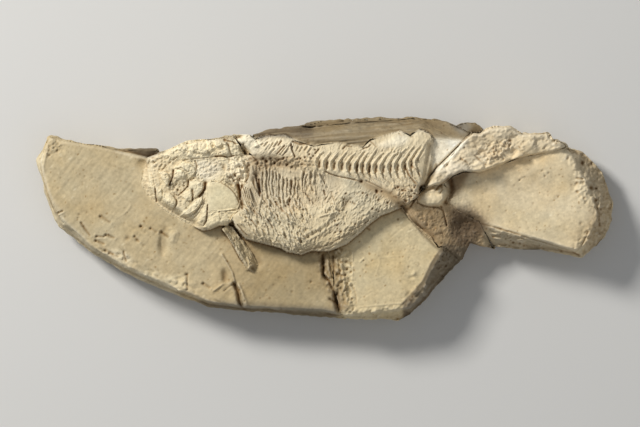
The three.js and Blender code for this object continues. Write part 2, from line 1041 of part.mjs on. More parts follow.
function placeStone() {
  const backRegion = [
    clearance([...backOuterEdge, ...backInnerEdge], -1),
    clearance(backUnderFossil, -1),
    clearance(backChip, -1),
  ];
  const hole = grooveIn(blocks.left.level, jointHole);
  const left = joinedTo(stoneBlock(leftEdge, blocks.left), [
    prism(leftLedge, 0, 8),
    swellOn(blocks.left, slabSwell),
    ...slabRidges.map((ridge) => ridgeOn(faceAt(blocks.left, ...ridge.path[1]), ridge)),
  ]);
  const leftMarks = [
    ...slabDents.map((dent) => dentIn(blocks.left, dent)),
    ...slabGrooves.map((groove) => grooveIn(faceAt(blocks.left, ...groove.path[1]), groove)),
    ...gougeEnds.map(gougeMark),
  ];
  const finPocket = clearance(finBone.outline, finBone.seat);
  const leftCutters = [...fossilPockets, finPocket, ...backRegion, ...leftMarks, hole];
  place("stone_left", cutBy(left, leftCutters), 0xbbaa87);

  const leftRegion = clearance(widest(leftEdge), -1);
  const lower = joinedTo(stoneBlock(lowerEdge, blocks.lower), [
    ridgeOn(blocks.lower.level, lowerRidge),
    ...lowerSwells.map((swell) => swellOn(blocks.lower, swell)),
  ]);
  place("stone_lower", cutBy(lower, [...fossilPockets, ...backRegion, leftRegion, hole]), 0xcdbd97);

  place("stone_back", cutBy(backBlock(), fossilPockets), 0x98886c);

  const upperRight = stoneBlock(upperRightEdge, blocks.upperRight);
  place("stone_upper_right", cutBy(upperRight, [...fossilPockets, ...backRegion]), 0xc3b395);

  const upperRightRegion = clearance(widest(upperRightEdge), -1);
  const right = stoneBlock(rightEdge, blocks.right).subtract(spoon());
  place("stone_right", cutBy(right, [upperRightRegion]), 0xcdbc9a);

  const mortar = stoneBlock(mortarEdge, blocks.mortar);
  const mortarCutters = [
    ...fossilPockets,
    ...backRegion,
    upperRightRegion,
    clearance(widest(rightEdge), -1),
    clearance(widest(lowerEdge), -1),
    clearance(knobEdge, seat),
    dentIn(blocks.mortar, mortarDent),
  ];
  place("mortar_joint", cutBy(mortar, mortarCutters), 0xa18d6e);

  const knob = crowned(knobEdge, seat + seam, { rim: 18.6, crown: 20.6, bevel: 1.6 });
  const knobCutters = [...fossilPockets, ...backRegion, upperRightRegion, clearance(widest(rightEdge), -1)];
  place("stone_knob", cutBy(knob, knobCutters), 0xc8b896);
}

function placeHead() {
  const bonePockets = Object.values(headBones).map(({ outline }) => clearance(outline, boneSeat));
  const skull = crowned(headOutline, seat + seam, { rim: 19, crown: 20.4, bevel: 1 });
  place("skull", cutBy(skull, bonePockets), 0xc4b491);
  const names = Object.keys(headBones);
  names.forEach((name, i) => {
    const { outline, ...heights } = headBones[name];
    const solid = crowned(outline, boneSeat + seam, heights);
    place(name, cutBy(solid, bonePockets.slice(0, i)), 0xd9c9a3);
  });
}

function placeTrunk() {
  const pocket = (outline) => clearance(outline, seat - 1);
  const head = pocket(headOutline);
  const spines = pocket(frontSpinesOutline);
  const column = pocket(columnOutline);
  const ribs = pocket(ribsOutline);
  const girdle = clearance(cleithrum.outline, 20);
  place("front_spines", cutBy(frontSpines(), [head]), 0xb4a283);
  place("vertebral_column", cutBy(backbone(), [head, spines]), 0xbdad8e);
  place("rib_cage_left", cutBy(ribCage(), [head, spines, column, girdle]), 0xb1a287);
  place("belly_scales", cutBy(belly(), [head, spines, column, ribs, girdle]), 0xb9ab8d);
  const { outline, ...heights } = cleithrum;
  place("cleithrum", cutBy(crowned(outline, 20 + seam, heights), [head, spines, column]), 0xcdbd9c);
}

function placeFin() {
  const ring = anticlockwise(finBone.outline);
  const fin = lofted([atHeight(ring, finBone.seat + seam), ring]);
  place("pectoral_fin_bone", cutBy(fin, fossilPockets), 0xc9b892);
}

placeStone();
placeHead();
placeTrunk();
placeFin();

// The origin goes on the floor under the middle of the specimen.
const middle = new THREE.Box3().setFromObject(part).getCenter(new THREE.Vector3());
part.position.set(-middle.x, -middle.y, 0);

export default part;
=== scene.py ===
import math

import bmesh
import bpy
import numpy as np
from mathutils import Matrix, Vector
from mathutils.bvhtree import BVHTree


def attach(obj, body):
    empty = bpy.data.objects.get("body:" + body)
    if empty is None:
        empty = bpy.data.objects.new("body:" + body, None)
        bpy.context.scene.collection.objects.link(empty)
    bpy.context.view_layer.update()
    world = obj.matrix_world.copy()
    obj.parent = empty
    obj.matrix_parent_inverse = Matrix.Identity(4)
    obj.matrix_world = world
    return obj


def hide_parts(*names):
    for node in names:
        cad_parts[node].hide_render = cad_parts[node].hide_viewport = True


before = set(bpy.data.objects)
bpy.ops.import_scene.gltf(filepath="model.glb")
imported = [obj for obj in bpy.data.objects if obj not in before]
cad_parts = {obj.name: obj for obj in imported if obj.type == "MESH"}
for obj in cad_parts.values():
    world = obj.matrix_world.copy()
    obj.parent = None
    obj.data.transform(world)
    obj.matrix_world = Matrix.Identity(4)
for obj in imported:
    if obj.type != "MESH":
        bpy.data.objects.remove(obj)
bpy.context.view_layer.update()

print("fossil: the frame is in")

# The relief is worked out on a plan seen from above, on a sheet of 640 x 427 plan units, and its
# heights are millimetres over the floor. Then each piece's face is moved on to it.
plan = {
    "unit": 0.351,  # millimetres of stone under one plan unit
    "sheet": (640, 427),
    "middle": (325.26, 219.33),  # the place over the origin
    "left": 26,  # the part of the sheet that is worked out
    "right": 626,
    "top": 108,
    "bottom": 330,
    "cell": 0.5,  # plan units from one value to the next
}

across, down = np.meshgrid(
    np.arange(plan["left"], plan["right"], plan["cell"]),
    np.arange(plan["top"], plan["bottom"], plan["cell"]),
)


def toMetres(px, py):
    x = (px - plan["middle"][0]) * plan["unit"] * 0.001
    y = (plan["middle"][1] - py) * plan["unit"] * 0.001
    return x, y


def fromMetres(x, y):
    px = x * 1000 / plan["unit"] + plan["middle"][0]
    py = plan["middle"][1] - y * 1000 / plan["unit"]
    return px, py


# The stone's own heights, and the name of the node under each cell
def groundPlan():
    solids = bmesh.new()
    nodeOfFace = []
    names = sorted(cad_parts)
    for number, name in enumerate(names):
        solids.from_mesh(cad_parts[name].data)
        nodeOfFace += [number] * (len(solids.faces) - len(nodeOfFace))
    tree = BVHTree.FromBMesh(solids)
    solids.free()
    height = np.zeros(across.shape)
    owner = np.full(across.shape, -1)
    xs, ys = toMetres(across, down)
    straightDown = Vector((0, 0, -1))
    for i in range(across.shape[0]):
        for j in range(across.shape[1]):
            hit, _, face, _ = tree.ray_cast(Vector((xs[i, j], ys[i, j], 1)), straightDown)
            if hit:
                height[i, j] = hit.z * 1000
                owner[i, j] = nodeOfFace[face]
    return height, owner, names


# The gaps between the pieces, up to so many cells each way and deeper than a drop in millimetres,
# are filled from their higher side
def seamsFilled(height, owner, cells, drop):
    best, bestOwner = height.copy(), owner.copy()
    for _ in range(cells):
        high, highOwner = best.copy(), bestOwner.copy()
        for step in (-1, 1):
            for axis in (0, 1):
                near = np.roll(best, step, axis)
                nearOwner = np.roll(bestOwner, step, axis)
                higher = near > high
                high = np.where(higher, near, high)
                highOwner = np.where(higher, nearOwner, highOwner)
        best, bestOwner = high, highOwner
    low = best.copy()
    for _ in range(cells):
        lower = low.copy()
        for step in (-1, 1):
            for axis in (0, 1):
                lower = np.minimum(lower, np.roll(low, step, axis))
        low = lower
    inSeam = (low - height > drop) & (owner >= 0)
    return np.where(inSeam, low, height), np.where(inSeam, bestOwner, owner), inSeam


def blurred(field, size, stretch=1.0, angle=0.0):
    along = np.fft.rfftfreq(field.shape[1])[None, :]
    up = np.fft.fftfreq(field.shape[0])[:, None]
    turn = math.radians(angle)
    first = along * math.cos(turn) - up * math.sin(turn)
    second = along * math.sin(turn) + up * math.cos(turn)
    spread = size / plan["cell"]
    keep = np.exp(-2 * (math.pi * spread) ** 2 * ((first * stretch) ** 2 + second**2))
    return np.fft.irfft2(np.fft.rfft2(field) * keep, s=field.shape)


def blurredWithin(field, mask, size):
    weight = blurred(mask.astype(float), size)
    return blurred(np.where(mask, field, 0), size) / np.maximum(weight, 1e-4)


# An even random field, about -2 to 2, with lumps of the given size in plan units
def cloud(size, seed, stretch=1.0, angle=0.0):
    field = blurred(np.random.default_rng(seed).normal(size=across.shape), size, stretch, angle)
    return field / field.std()


# Broken rock: flat chips of the given size, each tilted its own way
def facets(size, seed, stretch=1.0, angle=0.0, lean=0.0):
    turn = math.radians(angle)
    u = (across * math.cos(turn) - down * math.sin(turn)) / (size * stretch)
    v = (across * math.sin(turn) + down * math.cos(turn)) / size
    maker = np.random.default_rng(seed)
    offset = maker.uniform(0.1, 0.9, (2, 64, 64))
    tilt = maker.normal(0, 0.7, (2, 64, 64))
    level = maker.normal(0, 0.5, (64, 64))
    nearest, value = np.full(across.shape, 9.0), np.zeros(across.shape)
    for i in (-1, 0, 1):
        for j in (-1, 0, 1):
            cellU, cellV = np.floor(u) + i, np.floor(v) + j
            a, b = (cellU % 64).astype(int), (cellV % 64).astype(int)
            du, dv = u - cellU - offset[0][a, b], v - cellV - offset[1][a, b]
            far = du * du + dv * dv
            chip = level[a, b] + (tilt[0][a, b] + lean) * du + tilt[1][a, b] * dv
            value = np.where(far < nearest, chip, value)
            nearest = np.minimum(nearest, far)
    return (value - value.mean()) / value.std()


# Fine grit of several sizes, drawn out along an angle where stretch is over 1
def grit(size, seed, stretch=1.0, angle=0.0):
    field = cloud(size, seed, stretch, angle) * 0.6 + cloud(size * 0.6, seed + 500, stretch, angle) * 0.5
    return field + cloud(size * 0.35, seed + 900, stretch, angle) * 0.4


def smoothStep(low, high, value):
    share = np.clip((value - low) / (high - low), 0, 1)
    return share * share * (3 - 2 * share)


def inside(outline, soft=0.0):
    mask = np.zeros(across.shape, bool)
    for (ax, ay), (bx, by) in zip(outline, outline[1:] + outline[:1]):
        crosses = (ay > down) != (by > down)
        slope = (bx - ax) / (by - ay) if by != ay else 0
        mask ^= crosses & (across < ax + (down - ay) * slope)
    return blurred(mask.astype(float), soft) if soft else mask.astype(float)


# Distance from a path, the share of the way along it, and the window of the plan it touches
def nearPath(path, reach):
    points = np.array(path, float)
    low = (points.min(0) - reach - (plan["left"], plan["top"])) / plan["cell"]
    high = (points.max(0) + reach - (plan["left"], plan["top"])) / plan["cell"]
    rows = slice(max(int(low[1]), 0), max(int(high[1]) + 1, 0))
    columns = slice(max(int(low[0]), 0), max(int(high[0]) + 1, 0))
    x, y = across[rows, columns], down[rows, columns]
    steps = np.diff(points, axis=0)
    lengths = np.hypot(*steps.T)
    gone = 0.0
    best = np.full(x.shape, 1e9)
    share = np.zeros(x.shape)
    for start, step, length in zip(points[:-1], steps, lengths):
        t = ((x - start[0]) * step[0] + (y - start[1]) * step[1]) / max(length, 1e-6) ** 2
        t = np.clip(t, 0, 1)
        distance = np.hypot(x - start[0] - t * step[0], y - start[1] - t * step[1])
        nearer = distance < best
        best = np.where(nearer, distance, best)
        share = np.where(nearer, (gone + t * length) / lengths.sum(), share)
        gone += length
    return (rows, columns), best, share


# A ridge, or a groove where the height is negative. Width is half the width in plan units.
def stroke(path, width, height, taper=0.3, sharp=2.0, target=None):
    field = relief if target is None else target
    window, distance, share = nearPath(path, width * 3)
    fade = 1 - taper * share
    field[window] += height * fade * np.exp(-((distance / (width * fade)) ** sharp))


# A path shifted to the right and towards the foot of the plan
def moved(path, aside, below):
    return [(x + aside, y + below) for x, y in path]


def spot(x, y, width, height, stretch=1.0, angle=0.0, target=None):
    field = relief if target is None else target
    turn = math.radians(angle)
    length = width * (stretch - 1) / 2
    offset = (math.cos(turn) * length, -math.sin(turn) * length)
    path = [(x - offset[0], y - offset[1]), (x + offset[0] + 0.01, y + offset[1])]
    stroke(path, width, height, 0, 2.0, field)


# Cells each way, and the drop in millimetres
seams = {"wide": (6, 4.0), "narrow": (2, 1.2)}

print("fossil: taking the heights of the stone")
ground, owner, nodeNames = groundPlan()
ground, owner, wideSeams = seamsFilled(ground, owner, *seams["wide"])
ground, owner, _ = seamsFilled(ground, owner, *seams["narrow"])
wideSeams = blurred(wideSeams.astype(float), 1.0)


def areaOf(*names):
    return np.isin(owner, [nodeNames.index(name) for name in names])


stoneNames = [name for name in nodeNames if name.startswith("stone") or name == "mortar_joint"]
trunkNames = ["front_spines", "vertebral_column", "rib_cage_left", "belly_scales", "cleithrum"]
headNames = [name for name in nodeNames if name not in stoneNames + trunkNames]
headNames.remove("pectoral_fin_bone")

area = {
    "solid": owner >= 0,
    "stone": areaOf(*stoneNames),
    "slab": areaOf("stone_left", "stone_lower"),
    "left": areaOf("stone_left"),
    "lower": areaOf("stone_lower"),
    "right": areaOf("stone_right"),
    "upperRight": areaOf("stone_upper_right"),
    "back": areaOf("stone_back"),
    "mortar": areaOf("mortar_joint"),
    "knob": areaOf("stone_knob"),
    "head": areaOf(*headNames),
    "column": areaOf("vertebral_column"),
    "spines": areaOf("front_spines"),
    "ribs": areaOf("rib_cage_left", "cleithrum"),
    "belly": areaOf("belly_scales"),
    "fin": areaOf("pectoral_fin_bone"),
}
area["trunk"] = area["column"] | area["spines"] | area["ribs"] | area["belly"]
soft = {name: blurred(mask.astype(float), 0.8) for name, mask in area.items()}

# The bars of the solids come off first: the sculpting puts finer ones in their place
bedTops = {"vertebral_column": 24.5, "front_spines": 24.8, "rib_cage_left": 22.4, "belly_scales": 24.2}
for name, top in bedTops.items():
    ground = np.where(areaOf(name), np.minimum(ground, top), ground)

relief = ground.copy()
for name, size in {"stone": 1.0, "back": 4.0, "trunk": 3.2, "fin": 0.8}.items():
    relief = np.where(area[name], blurredWithin(ground, area[name], size), relief)
# The bones of the head lie flatter than their solids
headLevel = blurredWithin(ground, area["head"], 7)
flatter = headLevel + 0.28 * (blurredWithin(ground, area["head"], 1.1) - headLevel)
relief = np.where(area["head"], flatter, relief)
# Painted shade and brown stain together: the colour is darkened along cracks, pits, grooves and shaded slopes
stainAndShade = np.zeros(across.shape)  # brown in the hollows, over and above what the relief gives


# A dark crack: a narrow groove whose colour is darkened too
def crack(path, width=0.6, depth=0.9, brown=0.8, taper=0.2):
    stroke(path, width, -depth, taper)
    stroke(path, width * 1.2, brown, taper, target=stainAndShade)


def pit(x, y, width=0.8, depth=0.7, brown=0.6, stretch=1.0, angle=0.0):
    spot(x, y, width, -depth, stretch, angle)
    spot(x, y, width * 1.2, brown, stretch, angle, target=stainAndShade)


# A gouge left by a tool: a groove with a bright lip on its lower right side
def gouge(path, width=1.15, depth=0.9):
    crack(path, width, depth, 0.8, 0.25)
    stroke(moved(path, width * 1.5, width), width * 0.8, depth * 0.6)
    stroke(moved(path, -width * 1.3, -width), width * 0.6, depth * 0.25)


# Brings the relief to another level along a path
def settle(path, width, level, share=1.0):
    band = np.zeros(across.shape)
    stroke(path, width, share, 0, 3, target=band)
    band = np.clip(band, 0, 1)
    relief[:] = relief * (1 - band) + level * band


# Smooths the relief along a path
def melt(path, width, size, share=1.0):
    band = np.zeros(across.shape)
    stroke(path, width, share, 0, 3, target=band)
    relief[:] += (blurred(relief, size) - relief) * np.clip(band, 0, 1)


# Many short strands with their lean going from one angle to another across an outline
def strands(look, outline, softness=1.5):
    maker = np.random.default_rng(look["seed"])
    field = np.zeros(across.shape)
    xs, ys = zip(*outline)
    for _ in range(look["count"]):
        x, y = maker.uniform(min(xs), max(xs)), maker.uniform(min(ys), max(ys))
        share = (x - min(xs)) / (max(xs) - min(xs))
        lean = look["lean"][0] * (1 - share) + look["lean"][1] * share
        lean = math.radians(lean + maker.normal(0, look["spread"]))
        reach = maker.uniform(*look["length"]) / 2
        step = (math.cos(lean) * reach, -math.sin(lean) * reach)
        bend = maker.normal(0, 0.22) * reach
        path = [(x - step[0], y - step[1]), (x - step[1] * bend / reach, y + step[0] * bend / reach),
                (x + step[0], y + step[1])]
        width = look["width"] * maker.uniform(0.7, 1.35)
        height = look["height"] * maker.uniform(0.5, 1.3) * maker.choice([1, 1, -1])
        stroke(path, width, height, 0.4, target=field)
    return field * inside(outline, softness)


def scattered(count, seed, outline, width, depth, brown):
    maker = np.random.default_rng(seed)
    xs, ys = zip(*outline)
    within = inside(outline)
    for _ in range(count):
        x, y = maker.uniform(min(xs), max(xs)), maker.uniform(min(ys), max(ys))
        size = maker.uniform(0.6, 1.4)
        row = int((y - plan["top"]) / plan["cell"])
        if within[row, int((x - plan["left"]) / plan["cell"])]:
            pit(x, y, width * size, depth * size, brown, maker.uniform(1, 1.8), maker.uniform(0, 180))


# The two big slabs
slabs = {
    "gouges": [
        [(81, 223), (85, 229), (90, 235.5)],
        [(100, 216.5), (105, 219), (110, 222.5)],
        [(105.5, 235), (114, 238)],
        [(95.5, 240.8), (104, 244.3)],
        [(96.5, 236.5), (104, 237)],
        [(134.5, 236.5), (139, 241.5)],
        [(150.5, 228.5), (156.5, 232.2)],
        [(161, 232), (168, 237)],
        [(140.5, 226.3), (143, 228)],
        [(203, 283.5), (210, 288)],
        [(58, 213), (62.5, 211)],
        [(105, 250.5), (113, 254)],
        [(109, 253.5), (118, 257)],
        [(123.5, 252), (126, 261)],
    ],
    "pits": [
        (141, 226.6, 1.2, 0.5),
        (136.6, 240.4, 1.4, 0.5),
        (127.5, 238.5, 2.0, 0.6),
        (143.5, 245.5, 1.3, 0.4),
        (84.5, 176.3, 0.8, 0.35),
        (82, 182.5, 0.7, 0.3),
        (60.5, 178, 0.8, 0.3),
        (79, 214.6, 1.0, 0.4),
        (77.4, 218, 0.8, 0.4),
        (65, 217, 0.9, 0.45),
        (186.7, 228.4, 1.0, 0.5),
        (217.6, 239, 0.8, 0.4),
        (167, 262, 0.8, 0.4),
        (253, 258, 0.7, 0.3),
        (269, 265.3, 0.7, 0.3),
        (274, 285, 0.8, 0.3),
        (281, 309, 1.0, 0.4),
        (292, 291.8, 1.2, 0.45),
    ],
    "specks": 150,
}


def sculptLeftSlab():
    left = area["left"]
    whole = [(48, 136), (62, 138), (110, 146), (144, 158), (146, 190), (170, 218), (204, 232), (222, 236),
             (240, 270), (262, 262), (320, 256), (330, 290), (334, 304), (260, 302), (200, 290), (150, 272),
             (96, 244), (66, 218), (48, 178)]
    scattered(slabs["specks"], 10, whole, 0.6, 0.22, 0.35)
    for path in slabs["gouges"]:
        gouge(path)
    for x, y, width, depth in slabs["pits"]:
        pit(x, y, width, depth, 0.45)
    # long faint marks of the scraper
    relief[:] += left * (cloud(0.7, 14, 12, 50) * 0.026 + cloud(0.6, 15, 16, -20) * 0.018 + grit(0.7, 25) * 0.008)
    # a shallow thumb mark with a paler, raised right side
    spot(165, 242, 6.0, -0.5, 2.4, 84)
    stroke([(166, 228), (161.5, 234), (160.4, 244), (162.6, 254)], 2.0, -0.35, 0.2)
    stroke([(165, 230), (163, 238), (163.4, 249)], 3.2, 0.3, 0.2, target=stainAndShade)
    spot(174, 237, 3.8, 0.5, 2.6, 80)
    spot(176, 233, 2.2, 0.25, 1.4, 60)
    stroke([(169, 229), (176, 228), (178.6, 234), (176, 242)], 1.0, 0.25, 0.3)
    stroke([(168.5, 232), (171, 237)], 0.8, 0.25)
    # a leaf-shaped hollow beside a low crest
    spot(225, 276, 4.2, -0.55, 2.6, 97)
    spot(224.4, 276, 3.2, 0.5, 2.6, 97, target=stainAndShade)
    stroke([(221.5, 254), (227, 263), (232, 272), (235, 283)], 1.0, 0.45, 0.1)
    stroke([(213, 291), (219, 287), (224, 283.5), (231, 283), (235.5, 288)], 1.0, 0.25, 0.1)
    crack([(224, 291), (229, 287), (233.5, 284)], 0.8, 0.5, 0.4)
    crack([(234, 283.5), (237, 290), (238.6, 300), (242, 308), (247, 313)], 1.8, 0.8, 0.9, 0)
    stroke([(238, 284), (242.6, 294), (245, 303), (251, 311)], 1.4, 0.45, 0.2)
    pit(244.5, 301, 1.0, 0.6)
    spot(228, 297, 5, -0.35, 1.8, 60)
    # the pale, finely broken edge at the lower left
    edge = [(98, 247), (110, 253), (122, 257), (137, 268), (154, 277), (176, 284), (195, 289)]
    rough = np.zeros(across.shape)
    stroke(edge, 7, 1.0, 0, 4, target=rough)
    relief[:] += rough * left * (blurred(facets(2.6, 11, 2.6, -35), 0.4) * 0.16 + grit(1.0, 12, 2.5, -35) * 0.05)
    for outline in ([(117, 250), (128, 248), (130, 262), (121, 264)],
                    [(164, 277), (187, 276), (190, 288), (176, 293)],
                    [(146, 268), (160, 270), (160, 280), (148, 276)]):
        relief[:] += inside(outline, 1) * (blurred(facets(3.2, 16, 1.8, -40), 0.3) * 0.3 + grit(0.9, 17) * 0.05)
    crack([(187.5, 274), (187, 281), (187.4, 289)], 0.8, 0.7, 0.6, 0)
    pit(186, 274.6, 1.0, 0.7, 0.8)
    # fine parallel scratches
    for i in range(6):
        stroke([(187 + i * 3.2, 270 - i * 1.4), (206 + i * 3.2, 246 - i * 1.2)], 0.5, 0.1)
    stroke([(130.4, 205.5), (128, 210), (124.7, 213.1)], 1.0, 0.25)
    stroke([(124.7, 213.1), (118, 217.5)], 0.9, 0.18)
    # the broken top left corner, and the layered bevel down the left
    corner = inside([(37, 148), (47, 131), (66, 138), (62, 152), (48, 158)], 1.5)
    relief[:] += corner * left * (facets(2.2, 13) * 0.22 + cloud(0.8, 18) * 0.1 - 0.3)
    bevel = inside([(36, 140), (45, 155), (42.4, 174), (47.7, 189), (56.8, 212), (66.4, 223.7), (87.4, 241.8),
                    (104.6, 254.3), (140, 272), (200, 296), (240, 306), (332, 313), (332, 326), (180, 322),
                    (60, 262), (26, 200), (26, 140)], 0.6)
    layers = cloud(0.8, 19, 16, -72) * smoothStep(75, 55, across) + cloud(0.8, 20, 16, -38) * (
        smoothStep(55, 75, across) * smoothStep(150, 110, across)) + cloud(0.8, 23, 16, -14) * (
        smoothStep(110, 150, across))
    relief[:] += bevel * left * (layers * 0.2 + blurred(facets(3.4, 24, 3.0, -40), 0.4) * 0.16)
    crease = [(47, 150), (43.5, 165), (42.8, 174), (47.9, 189), (57, 212), (66.5, 223.7), (87.4, 241.8),
              (104.6, 254.3)]
    stroke(crease, 0.9, 0.3, 0)
    stroke(moved(crease, -2.2, 1.2), 0.8, -0.35, 0)


def sculptJoint():
    # the rough, glued joint between the two slabs
    line = [(322, 252), (323.5, 264), (323.8, 272), (328, 280), (331.5, 288), (337, 295), (339, 306)]
    band = np.zeros(across.shape)
    stroke(line, 5.5, 1.0, 0, 4, target=band)
    stroke([(345, 253), (346, 275), (348, 290), (348, 310)], 8, 0.9, 0, 4, target=band)
    stroke([(334, 252), (337, 270), (342, 290), (344, 310)], 6, 0.9, 0, 4, target=band)
    band = np.clip(band, 0, 1)
    rough = blurred(facets(3.0, 21, 1.3, -75), 0.4) * 0.34 + grit(1.1, 22, 1.3, -75) * 0.13
    relief[:] += band * area["slab"] * (rough - 0.25)
    np.maximum(stainAndShade, band * area["slab"] * 0.2 * smoothStep(0.2, 1.4, cloud(2.2, 26)), out=stainAndShade)
    stroke([(341, 252), (342, 268), (344, 282), (347, 298), (348, 308)], 1.3, 0.25, 0)
    crack([(322.5, 255), (323.8, 266), (323.2, 275)], 1.2, 0.8, 1.0, 0)
    crack([(324, 275), (328.6, 280), (331.6, 287), (335.5, 294)], 1.0, 1.4, 0.9, 0)
    crack([(336, 294), (337.5, 300), (340.5, 309)], 2.0, 1.0, 1.0, 0)
    crack([(330, 299), (336, 303)], 1.2, 1.0)
    crack([(333, 256), (334, 266), (333.5, 274)], 0.9, 0.9, 0.8, 0)
    stroke([(327.5, 259), (329, 270), (333, 281)], 1.4, 0.4, 0)
    stroke([(336.5, 258), (338, 270), (340, 280)], 1.2, 0.5, 0)
    stroke([(352.5, 252), (352.5, 280)], 0.8, 0.3, 0)
    crack([(354.2, 288), (356, 296), (356.5, 304)], 0.7, 0.4, 0.4)
    for x, y in [(346, 262), (347, 269), (345, 275), (331, 266), (333, 277), (352, 299), (311, 282),
                 (341, 262), (338, 286), (345, 290), (351, 272)]:
        pit(x, y, 1.1, 0.7, 0.7)


def sculptLowerSlab():
    lower = area["lower"]
    whole = [(372, 238), (400, 216), (416, 212), (440, 246), (428, 280), (404, 306), (362, 308), (360, 262)]
    scattered(70, 29, whole, 0.6, 0.2, 0.35)
    spot(414.3, 273.5, 2.4, 0.3, 1.6, 60)
    spot(411.5, 277.5, 1.8, -0.4, 2, 20)
    spot(415.5, 291, 3.0, 0.35, 1.5, 50)
    spot(408.5, 295, 2.6, -0.6, 1.8, 60)
    spot(413, 301, 2.0, -0.4, 1.4, 20)
    pit(398, 219, 1.0, 0.6)
    pit(372.5, 260.5, 1.0, 0.4, 0.45)
    pit(366.5, 265.5, 1.1, 0.4, 0.4)
    pit(363.5, 270, 0.9, 0.3, 0.3)
    stroke([(360, 262), (364, 258), (368, 262)], 0.8, 0.3)
    stroke([(371, 234), (373, 241), (379, 246)], 0.6, -0.25)
    stroke([(361, 251), (369, 261)], 0.6, -0.2)
    stroke([(372, 292), (360, 299)], 0.6, -0.15)
    stroke([(388, 240), (402, 228), (412, 222)], 0.5, -0.12)
    for path in [[(378, 254), (380, 262), (376, 274)], [(380, 258), (398, 256)], [(376, 279), (385, 275)]]:
        stroke(path, 0.7, 0.14)
    # its bevelled right and lower sides are chipped and layered
    bevel = inside([(446, 240), (441, 249), (432, 271), (424, 285), (401, 306), (352, 309), (340, 311),
                    (345, 326), (420, 322), (470, 246)], 0.8)
    relief[:] += bevel * lower * (blurred(facets(3.2, 27, 1.8, 50), 0.4) * 0.26 + cloud(0.8, 28, 10, 48) * 0.14)
    scattered(24, 30, [(446, 244), (436, 268), (425, 286), (440, 282), (462, 250)], 0.8, 0.5, 0.6)
    stroke([(444, 243), (431, 262), (422, 281), (402, 303), (360, 307)], 0.9, 0.25, 0)


# The dish, its rim and the rough blocks behind
dish = {"rimRoughness": 0.42, "rimGrit": 0.16, "lipRoughness": 0.22}
backBlock = {
    "swirls": {"seed": 48, "count": 110, "lean": (30, 10), "spread": 24, "length": (3, 10), "width": 0.6,
               "height": 0.18},
}


